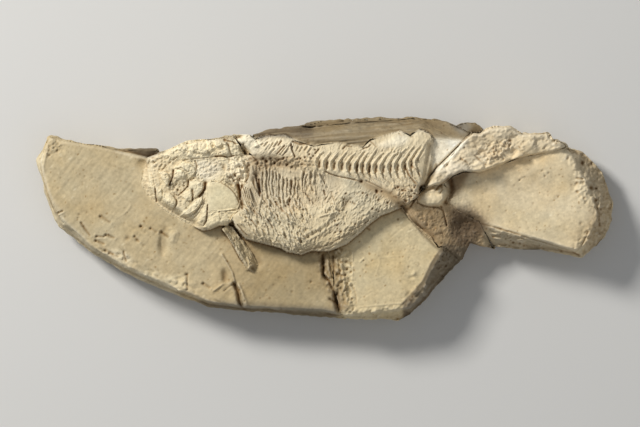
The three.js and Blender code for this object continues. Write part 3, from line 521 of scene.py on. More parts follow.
def sculptRightBlocks():
    right = area["right"]
    rimOutline = [(562, 142), (590, 142), (622, 190), (612, 244), (590, 262), (573, 250), (580, 232),
                  (593, 212), (578, 199), (571, 186), (573, 172), (566, 158)]
    rim = inside(rimOutline, 1.6)
    relief[:] += rim * right * (blurred(facets(6.5, 31), 0.6) * dish["rimRoughness"]
                                + blurred(facets(2.6, 37), 0.4) * dish["rimGrit"] + grit(1.1, 32) * 0.07)
    inner = [(569, 150), (574, 165), (572, 178), (574, 192), (582, 202), (594, 211), (587, 226), (580, 240)]
    stroke(inner, 3.0, -0.3, 0)
    melt(inner, 7, 3.0, 0.8)
    relief[:] += rim * right * (blurred(facets(3.4, 49), 0.4) * 0.2 + grit(1.0, 50) * 0.06)
    for x, y, width, depth, brown in [(591.3, 188, 2.0, 1.8, 1.0), (597, 200, 1.6, 0.8, 0.7),
                                      (583, 163, 1.9, 0.9, 0.8), (577, 183, 1.4, 0.8, 0.7),
                                      (584, 198, 1.2, 0.7, 0.7), (601, 209, 1.0, 0.8, 0.7)]:
        pit(x, y, width, depth, brown)
    crack([(577, 178), (583, 179)], 1.0, 0.6, 0.7)
    crack([(595, 200), (599, 214), (600, 226)], 1.6, 0.9, 0.6)
    crack([(588, 232), (583, 243), (576, 252)], 0.8, 0.6, 0.3)
    pit(581, 223.7, 1.6, 0.5, 0.3)
    scattered(22, 39, rimOutline, 0.9, 0.5, 0.6)
    smooth = right * (1 - rim)
    relief[:] += smooth * (cloud(7, 33) * 0.08 + cloud(2.2, 34) * 0.035 + cloud(0.7, 38, 7, 20) * 0.016)
    scattered(60, 45, [(460, 190), (480, 176), (560, 158), (570, 180), (588, 214), (574, 244), (500, 222),
                       (470, 206)], 0.6, 0.2, 0.4)
    for x, y in [(489.8, 206.8), (548.7, 173.1), (542, 171), (545, 176), (520, 180), (455, 189)]:
        pit(x, y, 0.9, 0.35, 0.45)
    for path in [[(543, 169), (545.5, 178)], [(519, 181), (524, 177)]]:
        stroke(path, 0.7, -0.25)
    # layered edge below the dish
    lip = inside([(462, 228), (484, 225), (507, 230), (524, 236), (546, 242.5), (566, 248), (584, 255),
                  (600, 262), (584, 272), (460, 262)], 0.8)
    relief[:] += lip * right * (cloud(0.8, 35, 9, -12) * dish["lipRoughness"]
                                + blurred(facets(3.4, 36, 2.2, -12), 0.3) * 0.36)
    stroke([(478, 219), (503, 227), (523, 233), (546, 240), (566, 246), (582, 253)], 1.1, 0.3, 0)
    crack([(481, 223.5), (497, 228), (512, 232.5), (530, 238.5), (548, 243.5), (570, 250.5), (580, 255.5)], 0.7, 0.8,
          0.8, 0)
    scattered(40, 40, [(486, 228), (520, 238), (566, 250), (590, 262), (540, 256), (500, 246)], 0.8, 0.6, 0.7)
    # the broken back block
    upper = area["upperRight"]
    broad = blurred(facets(8, 41, 1.5, 15), 0.9) * 0.42 + cloud(3.2, 47, 1.6, 20) * 0.2
    relief[:] += upper * (broad + blurred(facets(3, 42, 1.6, 25), 0.35) * 0.13 + grit(0.9, 43, 2.4, 20) * 0.075)
    scattered(34, 46, [(440, 168), (480, 132), (520, 128), (560, 146), (500, 162), (452, 178)], 0.7, 0.4, 0.5)
    field = [(446, 160), (470, 128), (520, 124), (566, 142), (500, 164), (456, 178)]
    relief[:] += upper * strands(backBlock["swirls"], field)
    sponge = inside([(482, 156), (496, 140), (510, 138), (514, 146), (500, 158), (486, 164)], 1.5)
    relief[:] += upper * sponge * (np.abs(cloud(0.9, 44)) * 0.45 - 0.45)
    np.maximum(stainAndShade, sponge * upper * smoothStep(0.2, 1.2, -cloud(0.9, 44)) * 0.7, out=stainAndShade)
    pit(498, 152, 1.3, 0.9, 0.9)
    pit(509.4, 141, 1.4, 0.9, 0.9)
    chips = [
        ([(446, 169), (451, 160), (466, 164), (470, 170), (462, 176), (450, 176)], 0.6),
        ([(453, 166), (461, 151), (481, 156), (476, 163)], 0.3),
    ]
    for outline, high in chips:
        chip = inside(outline, 0.5)
        relief[:] += chip * high
        relief[:] -= chip * upper * (broad * 0.6 + grit(1.2, 43, 2.0, 20) * 0.04)
    gouge([(460.3, 158.4), (467.4, 163.3)], 1.0, 0.5)
    crack([(475, 156), (480, 161)], 1.0, 0.6)
    # the bare chip behind the last vertebra, split by a long thin crack
    crack([(472.5, 132), (461.7, 142.3), (454, 150), (446.3, 157.7), (435, 168.9), (428, 178), (422.4, 187.2),
           (415.4, 198.4), (409, 209)], 0.7, 1.4, 1.0, 0)
    crack([(436, 165), (434, 172)], 1.4, 0.7)
    bare = inside([(430, 142), (446, 136), (462, 140), (452, 151), (436, 166), (428, 172), (427, 156)], 1.2)
    relief[:] += upper * bare * (blurred(facets(2.2, 103, 2, 40), 0.35) * 0.14 + grit(1.0, 104, 2.6, 40) * 0.1)
    # striped back slope
    back = area["back"]
    stripes = cloud(0.6, 51, 22, 5) * 0.13 + cloud(1.2, 52, 14, 4) * 0.16 + cloud(0.7, 56, 9, 9) * 0.08
    relief[:] += back * stripes * smoothStep(440, 405, across)
    relief[:] += back * grit(1.0, 54, 4.0, 5) * 0.04
    crack([(293, 142), (300, 144.5), (309, 144)], 1.0, 0.9, 0.7, 0.1)
    for path in [[(262, 138), (300, 131), (350, 125)], [(300, 139), (350, 134), (392, 131)],
                 [(316, 143), (360, 140), (380, 137)], [(350, 121), (390, 122), (424, 127)]]:
        stroke(path, 0.7, -0.3, 0.5)
        stroke(path, 0.8, 0.4, 0.5, target=stainAndShade)
    crack([(451, 124.5), (458.2, 127.6), (463.8, 130.4), (468.4, 132.7), (476, 134.2), (481, 134)], 0.7, 0.5, 0.4, 0)


# The putty around the knob
def sculptMortar():
    mortar = area["mortar"]
    relief[:] += mortar * (blurred(facets(4.0, 62), 0.8) * 0.14 + grit(1.0, 65) * 0.12)
    # the putty is smeared up the end of the dish, so their join is a slope
    join = inside([(446, 182), (458, 186), (470, 204), (490, 220), (492, 236), (470, 252), (440, 244),
                   (440, 208)], 3.5)
    relief[:] = relief * (1 - join) + blurredWithin(relief, solid, 4.5) * join
    spot(467, 226, 8, -0.8, 1.5, -50)
    np.maximum(stainAndShade, mortar * 0.4 * smoothStep(-0.2, 1.4, cloud(1.8, 69)), out=stainAndShade)
    relief[:] += join * solid * (cloud(3, 66) * 0.1 + grit(0.9, 67) * 0.11)
    melt([(409, 209), (417, 222), (428, 235), (440, 246)], 3.5, 2.0)
    melt([(426, 233), (434, 240), (442, 248)], 5.0, 2.6)
    crack([(408, 208), (413, 216), (418, 224), (429, 236)], 0.5, 0.3, 0.35, 0)
    crack([(416.8, 202.6), (422, 205.5), (428.1, 206.8), (437.9, 207.5), (443, 210.5), (445, 218),
           (447, 226)], 0.7, 0.8, 0.8, 0)
    scattered(46, 68, [(408, 208), (440, 204), (478, 216), (468, 250), (444, 246), (424, 232)], 0.6, 0.4, 0.6)
    melt([(480, 222), (487, 234), (493, 246)], 4, 2.5)
    knob = area["knob"]
    relief[:] += knob * (blurred(facets(3.6, 63), 0.7) * 0.12 + grit(1.2, 64) * 0.03)
    crack([(436, 190), (440.7, 184.4), (447.7, 178.8)], 0.9, 0.9, 0.9, 0)
    crack([(440.7, 184.4), (442, 189.5), (440, 193)], 0.8, 0.6, 0.8, 0)
    crack([(450, 180), (452, 187), (450.6, 195), (446, 202)], 2.6, 1.6, 0.8, 0)
    stroke([(424, 193), (434, 189.5), (441, 192), (443, 199), (437, 204), (426, 203.5)], 1.4, 0.35, 0)


# The backbone
vertebrae = {
    "ridges": [315.8, 323.6, 330.7, 338.2, 346.3, 354.3, 359.9, 366.1, 372.7, 379.7, 387.4, 394, 401.3,
               408.3, 414.9],
    "pitWidth": 1.15,
    "pitDepth": 1.1,
    "ridgeWidth": 1.05,
    "ridgeHeight": 0.72,
    "spineHeight": 0.62,
    "upperFibres": {"seed": 76, "count": 170, "lean": (62, 55), "spread": 12, "length": (3, 8), "width": 0.55,
                    "height": 0.24},
    "lowerFibres": {"seed": 77, "count": 130, "lean": (-62, -60), "spread": 16, "length": (2, 5), "width": 0.6,
                    "height": 0.24},
}


def columnLine(x):
    return np.interp(x, [314, 335, 350, 366, 380, 404, 416], [163.5, 165.5, 167, 168, 168.5, 166, 163.5])


def sculptBackbone():
    column = area["column"]
    xs = vertebrae["ridges"]
    maker = np.random.default_rng(70)
    for i, x in enumerate(xs):
        y = columnLine(x)
        share = i / (len(xs) - 1)
        size = maker.uniform(0.78, 1.15)
        upper = 5.5 + 9.5 * share
        lower = 2.5 + 13 * share
        slack = maker.normal(0, 0.5, 3)
        upperSpine = [(x + 0.3, y - 4.4), (x + 1.8 + upper * 0.28, y - 6.5 - upper * 0.45 + slack[0]),
                      (x + 2.5 + upper * 0.68 + slack[1], y - 6.5 - upper * size)]
        waist = [upperSpine[0], (x - 0.8, y - 2), (x - 0.7, y + 1.4), (x + 0.5, y + 4.4)]
        stroke(waist, vertebrae["ridgeWidth"] * size, vertebrae["ridgeHeight"] * size, 0)
        stroke(upperSpine, 0.95, vertebrae["spineHeight"], 0.35)
        stroke(moved(upperSpine, 1.9, 1.1), 0.8, -0.5, 0.4)
        if maker.random() < 0.6:
            stroke(moved(upperSpine[1:], 3.2, -0.2), 0.6, 0.3, 0.4)
        if i > 3:
            lowerSpine = [waist[-1], (x + 2.8, y + 6 + lower * 0.4),
                          (x + 5.5 + lower * 0.5 + slack[2], y + 6 + lower * size)]
            stroke(lowerSpine, 0.9, 0.6, 0.5)
            stroke(moved(lowerSpine, 1.8, 0.2), 0.75, -0.45, 0.5)
            stroke(moved(lowerSpine, 1.8, 0.2), 0.6, 0.25, 0.5, target=stainAndShade)
        if i < len(xs) - 1:
            gap = (x + xs[i + 1]) / 2
            depth = vertebrae["pitDepth"] * (1 - 0.5 * max(share - 0.5, 0) / 0.5) * size
            path = [(gap + 0.3, y - 2.4), (gap - 0.3, y + 0.4), (gap - 0.1, y + 3)]
            stroke(path, vertebrae["pitWidth"] * 1.4, -depth * 0.55, 0)
            stroke(moved(path, -0.3, 1.2), vertebrae["pitWidth"], -depth * 0.6, 0)
            stroke(path, 1.1, 0.55, 0, target=stainAndShade)
            stroke([(gap - 0.3, y + 1.2), (gap - 0.1, y + 2.8)], 0.9, 0.5, 0, target=stainAndShade)
    crack([(404.5, 166), (408, 174), (413, 181), (419, 186.5)], 0.8, 0.8, 0.7, 0)
    crack([(411, 165), (415.5, 170), (420, 176)], 0.8, 0.7, 0.5)
    relief[:] += column * (grit(1.0, 72, 1.6, 62) * 0.045 + cloud(3, 74) * 0.1)
    upperField = [(318, 146), (345, 145), (380, 146), (410, 136), (424, 140), (420, 158), (366, 162), (322, 158)]
    relief[:] += column * strands(vertebrae["upperFibres"], upperField)
    lowerField = [(350, 174), (380, 176), (420, 172), (424, 184), (408, 206), (390, 192), (362, 180)]
    relief[:] += column * strands(vertebrae["lowerFibres"], lowerField)
    # smooth fan of bone over the last spines
    fan = inside([(377, 147), (395, 136), (405, 134), (410, 138), (420, 135), (428, 140), (426, 150),
                  (404, 145), (388, 147)], 1.5)
    relief[:] += fan * 0.3
    relief[:] += fan * column * (blurred(relief, 1.2) - relief) * 0.7
    crack([(399, 134), (402, 136.4)], 0.6, 0.4, 0.5)
    crack([(410, 137), (413, 137.4)], 0.6, 0.4, 0.4)
    crack([(369.5, 141), (373, 144), (376.5, 147.5)], 0.6, 0.6, 0.7)
    crack([(343, 149), (346, 146), (351, 147)], 0.8, 0.7, 0.7)
    crack([(363, 149), (368, 147.5), (370.5, 145)], 0.7, 0.7, 0.7)
    # porous stone under the last vertebrae
    porous = inside([(391, 186), (403, 186), (418, 186), (420, 192), (408, 207), (398, 200)], 1.5)
    relief[:] += column * porous * (np.abs(cloud(0.8, 73)) * 0.4 - 0.55)
    np.maximum(stainAndShade, porous * column * 0.3, out=stainAndShade)
    scattered(40, 78, [(386, 188), (418, 184), (420, 192), (408, 210), (396, 204)], 0.8, 0.6, 0.8)
    rear = [(429.5, 146), (427.5, 160), (425, 173), (421, 187)]
    melt(rear, 5, 2.0)
    stroke(rear, 2.4, -0.9, 0)
    stroke(rear, 1.6, 0.3, 0, target=stainAndShade)


frontSpines = {
    # slits between the plates: path, half width, depth, brown
    "slits": [
        ([(281.6, 141.4), (278.7, 145.4)], 0.75, 0.7, 0.8),
        ([(278.2, 142.4), (274.2, 147.4)], 0.7, 0.5, 0.5),
        ([(284.8, 146.2), (281, 150), (277.2, 154.2)], 0.75, 0.8, 0.85),
        ([(290.2, 145.6), (287, 150), (283.2, 155.6)], 0.6, 0.5, 0.5),
        ([(267.9, 142.6), (264.6, 146.6)], 0.55, 0.4, 0.45),
        ([(263.8, 143.8), (261.6, 145.4)], 0.55, 0.35, 0.4),
        ([(270.4, 145), (266, 150.6)], 0.5, 0.3, 0.2),
        ([(273.4, 143.6), (269.6, 149.4)], 0.5, 0.3, 0.15),
        ([(274.8, 148.8), (270.2, 154.4)], 0.5, 0.35, 0.25),
        ([(281.4, 146.8), (276, 152.8)], 0.5, 0.3, 0.2),
        ([(287.2, 146.4), (280.6, 154.8)], 0.5, 0.35, 0.2),
        ([(291.2, 144.4), (291.8, 149.4), (295, 156.8)], 0.7, 1.2, 0.95),
        ([(289.6, 149), (286, 152.6)], 0.5, 0.3, 0.3),
        ([(307.4, 146.8), (304.8, 150.4)], 0.6, 0.5, 0.5),
        ([(302.6, 147.4), (299.6, 152)], 0.55, 0.4, 0.35),
        ([(298.4, 147.4), (296.4, 151)], 0.5, 0.4, 0.35),
        ([(311.4, 148.4), (308, 153)], 0.55, 0.4, 0.35),
        ([(318.6, 149.6), (315.6, 153.6)], 0.75, 0.8, 0.8),
    ],
    "plateHeight": 0.3,
    "fibres": {"seed": 79, "count": 120, "lean": (46, 58), "spread": 9, "length": (2, 7), "width": 0.5,
               "height": 0.16},
    "flakes": {"seed": 102, "count": 90, "lean": (44, 60), "spread": 12, "length": (2, 6), "width": 0.55,
               "height": 0.26},
}


def sculptFrontSpines():
    spines = area["spines"] | area["column"]
    for path, width, depth, brown in frontSpines["slits"]:
        crack(path, width, depth, brown, 0.1)
        stroke(moved(path, -1.5, -0.9), 0.8, frontSpines["plateHeight"], 0.2)
    for x, y in [(315.4, 150.2), (313.3, 156.3), (309.4, 154.6), (305, 157.6), (300.6, 158.8), (297.6, 159.4),
                 (316.6, 158.6), (311, 158.4)]:
        pit(x, y, 0.9, 0.9, 0.85)
    field = [(256, 140), (275, 140), (292, 143), (318, 148), (322, 160), (292, 158), (262, 157)]
    relief[:] += spines * strands(frontSpines["fibres"], field)
    relief[:] += spines * (grit(0.9, 80, 3.0, 48) * 0.03 + cloud(2.5, 75) * 0.05)
    # the pale broken patch behind the skull
    patch = inside([(236, 134), (246, 127), (262, 130), (264, 140), (262, 148), (256, 157), (246, 150),
                    (238, 142)], 1.5)
    relief[:] += patch * spines * (blurred(facets(2.6, 84, 2, -45), 0.4) * 0.16 + grit(0.9, 85, 2.5, 50) * 0.1)
    field = [(240, 134), (252, 128), (286, 128), (290, 138), (262, 142), (252, 150)]
    relief[:] += spines * strands(frontSpines["flakes"], field)


# The ribs
ribs = {
    "rods": [
        # path, half width, height
        ([(254.5, 176), (257.5, 188), (262, 199), (267, 206)], 1.0, 0.9),
        ([(261.5, 172), (260.8, 184), (261.5, 195)], 1.0, 0.75),
        ([(265.4, 171), (265.2, 184), (266.5, 198)], 1.0, 0.7),
        ([(268.5, 169), (268.6, 182), (270.4, 196)], 0.75, 0.6),
        ([(271.6, 171), (271, 184), (273.6, 199)], 1.05, 0.8),
        ([(274.7, 172), (275.6, 186), (275, 198)], 0.8, 0.6),
        ([(278.2, 174), (277.6, 186), (279.2, 199)], 1.1, 0.7),
        ([(282, 179), (281.4, 188), (282.6, 200)], 0.95, 0.7),
        ([(285.6, 178), (285.8, 188), (286, 196)], 0.9, 0.7),
        ([(289.5, 180), (290, 187), (289.2, 194)], 0.95, 0.8),
        ([(294.1, 178), (293.4, 188), (292.6, 196)], 1.1, 0.8),
        ([(297, 180), (296.2, 190), (297, 196)], 0.9, 0.6),
        ([(302.4, 172), (301.6, 184), (302, 192)], 1.0, 0.7),
        ([(305.6, 174), (304.2, 184), (303.5, 190)], 0.9, 0.6),
        ([(309.2, 172), (308.6, 182), (310.4, 190)], 1.0, 0.7),
        ([(313.8, 172), (313.2, 182), (315, 191)], 0.9, 0.6),
        ([(318.6, 174), (322, 181), (326.5, 187)], 0.9, 0.7),
    ],
    "slants": [
        [(252, 183), (256, 192), (261.5, 200), (266, 206.5), (272, 214)],
        [(249, 190), (252, 199), (257, 208), (262, 215)],
        [(260.3, 201), (259.4, 207), (258.6, 213)],
        [(269.4, 199), (268.8, 208)],
        [(266, 197), (270, 203), (275, 209)],
        [(271, 197), (275, 204), (278, 209)],
        [(275.5, 196), (280, 203), (285, 210), (290, 215)],
        [(281.5, 202), (284.5, 207), (291, 214)],
        [(287.8, 192.5), (290.5, 196), (294.5, 200)],
        [(284.8, 204), (286.5, 200.5), (288.9, 197.5)],
        [(296, 198), (301, 204), (306, 212)],
    ],
    "fibres": {"seed": 86, "count": 400, "lean": (-74, -84), "spread": 14, "length": (4, 13), "width": 0.62,
               "height": 0.3},
}


def sculptRibs():
    bed = area["ribs"] | area["column"]
    hollow = inside([(253, 171), (260, 168), (275, 168), (298, 178), (300, 190), (285, 202), (268, 201),
                     (256, 193)], 4)
    relief[:] -= hollow * area["ribs"] * 0.6
    spot(255.8, 178, 3.0, -1.5, 2.6, 80)
    spot(255.8, 178, 2.6, 0.35, 2.4, 80, target=stainAndShade)
    crack([(257.6, 184), (258.8, 190), (260.2, 195.6)], 0.9, 0.9, 0.9, 0.1)
    # loose vertical fibres under the rods
    field = [(250, 166), (300, 166), (326, 172), (330, 186), (318, 200), (286, 206), (256, 200)]
    fibres = strands(ribs["fibres"], field, 2.5)
    relief[:] += bed * fibres
    maker = np.random.default_rng(89)
    for path, width, height in ribs["rods"]:
        (x1, y1), (x2, y2), (x3, y3) = path[:3]
        bends = maker.normal(0, 0.5, 4)
        wavy = [(x1, y1), ((x1 + x2) / 2 + bends[0], (y1 + y2) / 2), (x2 + bends[1], y2),
                ((x2 + x3) / 2 + bends[2], (y2 + y3) / 2), (x3 + bends[3], y3)] + path[3:]
        stroke(wavy, width * 0.9, height * 1.05, 0.4)
        beside = moved(wavy, width * 1.6, 0.6)
        stroke(beside, width * 0.65, -height * 0.6, 0.35)
        stroke(beside, width * 0.55, maker.uniform(0.05, 0.5), 0.5, target=stainAndShade)
    for path in ribs["slants"]:
        stroke(path, 0.95, 0.75, 0.3)
        stroke(moved(path, 1.6, -0.7), 0.75, -0.45, 0.2)
    crack([(259, 180), (259.6, 186), (260.3, 193)], 1.1, 1.1, 0.9, 0)
    crack([(291.8, 181), (292, 190)], 0.6, 0.5, 0.9)
    crack([(288.5, 205), (290, 200)], 1.4, 0.9, 0.9, 0)
    crack([(276, 202), (277, 205)], 1.1, 0.9, 0.9)
    crack([(281, 208), (282.5, 211)], 0.9, 0.7, 0.9)
    crack([(304.5, 193), (308.2, 196.4), (309.4, 199.6), (313.6, 203.2)], 0.6, 0.6, 0.6)
    crack([(324, 191), (325, 195)], 0.9, 0.8, 0.8)
    # crushed bone at the front of the backbone
    crushed = inside([(247, 155.5), (262, 156.5), (290, 157), (314, 159), (318, 167), (300, 168.5),
                      (284, 167), (268, 169), (256, 170), (249, 164)], 1.4)
    relief[:] += crushed * bed * (blurred(facets(2.2, 81), 0.4) * 0.3 + grit(1.2, 87) * 0.12 - 0.4)
    front = crushed * smoothStep(330, 265, across)
    np.maximum(stainAndShade, front * 0.4 * smoothStep(-0.4, 1.2, cloud(1.6, 88)), out=stainAndShade)
    for x, y in [(251, 158.5), (254.5, 161), (258, 163.5), (256.5, 160), (263, 158.5), (266, 161), (270, 158.5),
                 (284, 158.5), (287, 165), (275, 163), (292, 167), (279, 160)]:
        pit(x, y, 1.2, 1.0, 0.9)
    stroke([(288, 160), (293, 158.5), (295, 163), (291, 167)], 1.6, 0.6, 0.1)
    patch = inside([(281.5, 169), (297, 171), (303.5, 170), (302, 178), (290, 180), (284, 177)], 1.2)
    relief[:] += patch * 0.5
    relief[:] -= patch * bed * fibres * 0.7
    spot(290, 171.3, 1.2, 0.4)
    relief[:] += bed * grit(0.9, 83, 3.5, -80) * 0.06
    # the cleithrum and its thin strips beside the gill cover
    for i in range(5):
        x = 240.5 + i * 2.2
        path = [(x, 186 + i), (x + 2.4, 196 + i), (x + 7.5, 207.5 + i), (x + 12, 214 + i)]
        stroke(path, 0.75, 0.6, 0.1)
        crack(moved(path, 1.15, -0.2), 0.6, 0.6, 0.5)
    crack([(238.6, 186), (240.6, 194.5), (241.8, 202), (242.4, 208)], 1.7, 2.0, 0.7, 0)


# The belly
belly = {
    "front": {"seed": 91, "count": 560, "lean": (-56, -66), "spread": 15, "length": (3.5, 9), "width": 0.72,
              "height": 0.4},
    "middle": {"seed": 95, "count": 400, "lean": (-66, -100), "spread": 20, "length": (2, 5.5), "width": 0.58,
               "height": 0.34},
    "rear": {"seed": 96, "count": 620, "lean": (-112, -124), "spread": 20, "length": (1.5, 4.5), "width": 0.58,
             "height": 0.32},
    "rearEdge": {"seed": 101, "count": 260, "lean": (26, 38), "spread": 16, "length": (2, 7), "width": 0.6,
                 "height": 0.42},
    "frontEdge": {"seed": 125, "count": 220, "lean": (-36, -66), "spread": 24, "length": (1.5, 5), "width": 0.6,
                  "height": 0.42},
}


def sculptBelly():
    mask = area["belly"] | area["ribs"]
    rough = strands(belly["front"], [(238, 204), (262, 200), (304, 202), (312, 215), (306, 240), (290, 252),
                                     (256, 238), (238, 222)])
    rough += strands(belly["middle"], [(292, 206), (318, 196), (346, 196), (344, 214), (318, 240), (292, 252)])
    rough += strands(belly["rear"], [(322, 192), (344, 180), (366, 184), (404, 204), (400, 212), (366, 226),
                                     (330, 246), (322, 220)])
    calm = inside([(326, 178), (345, 178), (362, 184), (354, 194), (338, 190), (328, 186)], 3)
    calm = np.maximum(calm, inside([(314, 216), (337, 212), (332, 219), (316, 228), (308, 226)], 2) * 0.7)
    relief[:] += mask * (1 - 0.8 * calm) * rough * 1.25
    front = smoothStep(322, 296, across)
    fibres = grit(0.9, 92, 4.0, -58) * front + grit(1.0, 99, 1.8, 64) * (1 - front)
    relief[:] += area["belly"] * (cloud(6, 93) * 0.2 + cloud(2.4, 94, 2.0, -60) * 0.07 + fibres * 0.07)
    spot(347, 203, 5, -1.1, 1.6, 60)
    spot(347, 203, 3.6, 0.3, 1.6, 60, target=stainAndShade)
    spot(300, 200, 8, -0.3, 1.4)
    spot(318, 205, 5, -0.5, 2, -50)
    spot(256, 218, 5, -0.35, 2, -50)
    spot(276, 226, 4, -0.4, 1.6, -60)
    scattered(46, 97, [(330, 196), (360, 190), (402, 206), (366, 224), (336, 240)], 0.7, 0.5, 0.8)
    # steps where one sheet of scales ends on the next
    stroke([(306, 238), (314, 233.5), (322, 229.5), (329, 225), (333, 219), (336, 215.5)], 1.0, -0.3, 0)
    stroke([(304, 235), (313, 230), (321, 226), (328, 221), (332, 216)], 1.6, 0.35, 0)
    for i in range(4):
        sheet = [(308 + i * 5, 240 - i * 1.5), (318 + i * 5, 234 - i * 2), (330 + i * 4, 226 - i * 2)]
        stroke(sheet, 0.8, 0.3, 0.4)
        stroke(moved(sheet, 1, 1.6), 0.7, -0.25, 0.4)
        stroke(moved(sheet, 1, 1.6), 0.6, 0.35, 0.4, target=stainAndShade)
    stroke([(320, 216.5), (329, 214), (337, 211.8)], 0.9, 0.55, 0)
    edge = [(300, 253), (310, 249), (322, 247), (331, 243.5), (340, 238.5), (352, 231), (365, 223)]
    stroke(edge, 0.7, -0.45, 0.4)
    stroke(edge, 2.2, 0.3, 0, target=stainAndShade)
    stroke(moved(edge[1:], 1.2, 3.2), 0.7, -0.35, 0.4)
    field = [(292, 250), (320, 238), (345, 226), (370, 214), (376, 220), (354, 236), (330, 250), (302, 258)]
    relief[:] += area["belly"] * strands(belly["rearEdge"], field)
    field = [(236, 226), (252, 234), (274, 242), (298, 246), (300, 258), (262, 254), (238, 242)]
    relief[:] += area["belly"] * strands(belly["frontEdge"], field)
    for path in [[(251, 220), (254, 223), (257, 227)], [(268, 219.5), (271, 224), (273, 228)],
                 [(265.5, 223.5), (268, 227), (268.5, 230)], [(274, 211.5), (278.5, 216.5)],
                 [(238, 225), (243, 231), (247, 235)], [(254, 211), (258, 216)]]:
        crack(path, 0.7, 0.7, 0.7)
    # the seam that the backbone left, running down to the mortar
    crack([(325, 171.5), (331, 174.5), (338.9, 176.8), (350, 179), (360.2, 181.5)], 0.6, 0.8, 0.7, 0)
    band = [(361, 182), (368, 186.4), (379, 190), (391, 195.6), (399, 203), (407, 208.5)]
    melt(band, 4.5, 2.0)
    stroke(band, 2.6, -0.7, 0)
    stroke(band, 4.0, 0.3, 0, target=stainAndShade)
    pit(361.5, 181.5, 1.2, 1.1, 1.0)
    crack([(366, 181), (373.5, 184.5), (382, 189)], 0.6, 0.5, 0.6)
    scattered(36, 98, [(364, 180), (380, 186), (400, 198), (410, 210), (396, 206), (376, 192)], 0.8, 0.6, 0.9)
    dark = inside([(391, 195), (400, 196), (409, 207), (404, 212), (396, 206)], 2)
    np.maximum(stainAndShade, dark * 0.4, out=stainAndShade)


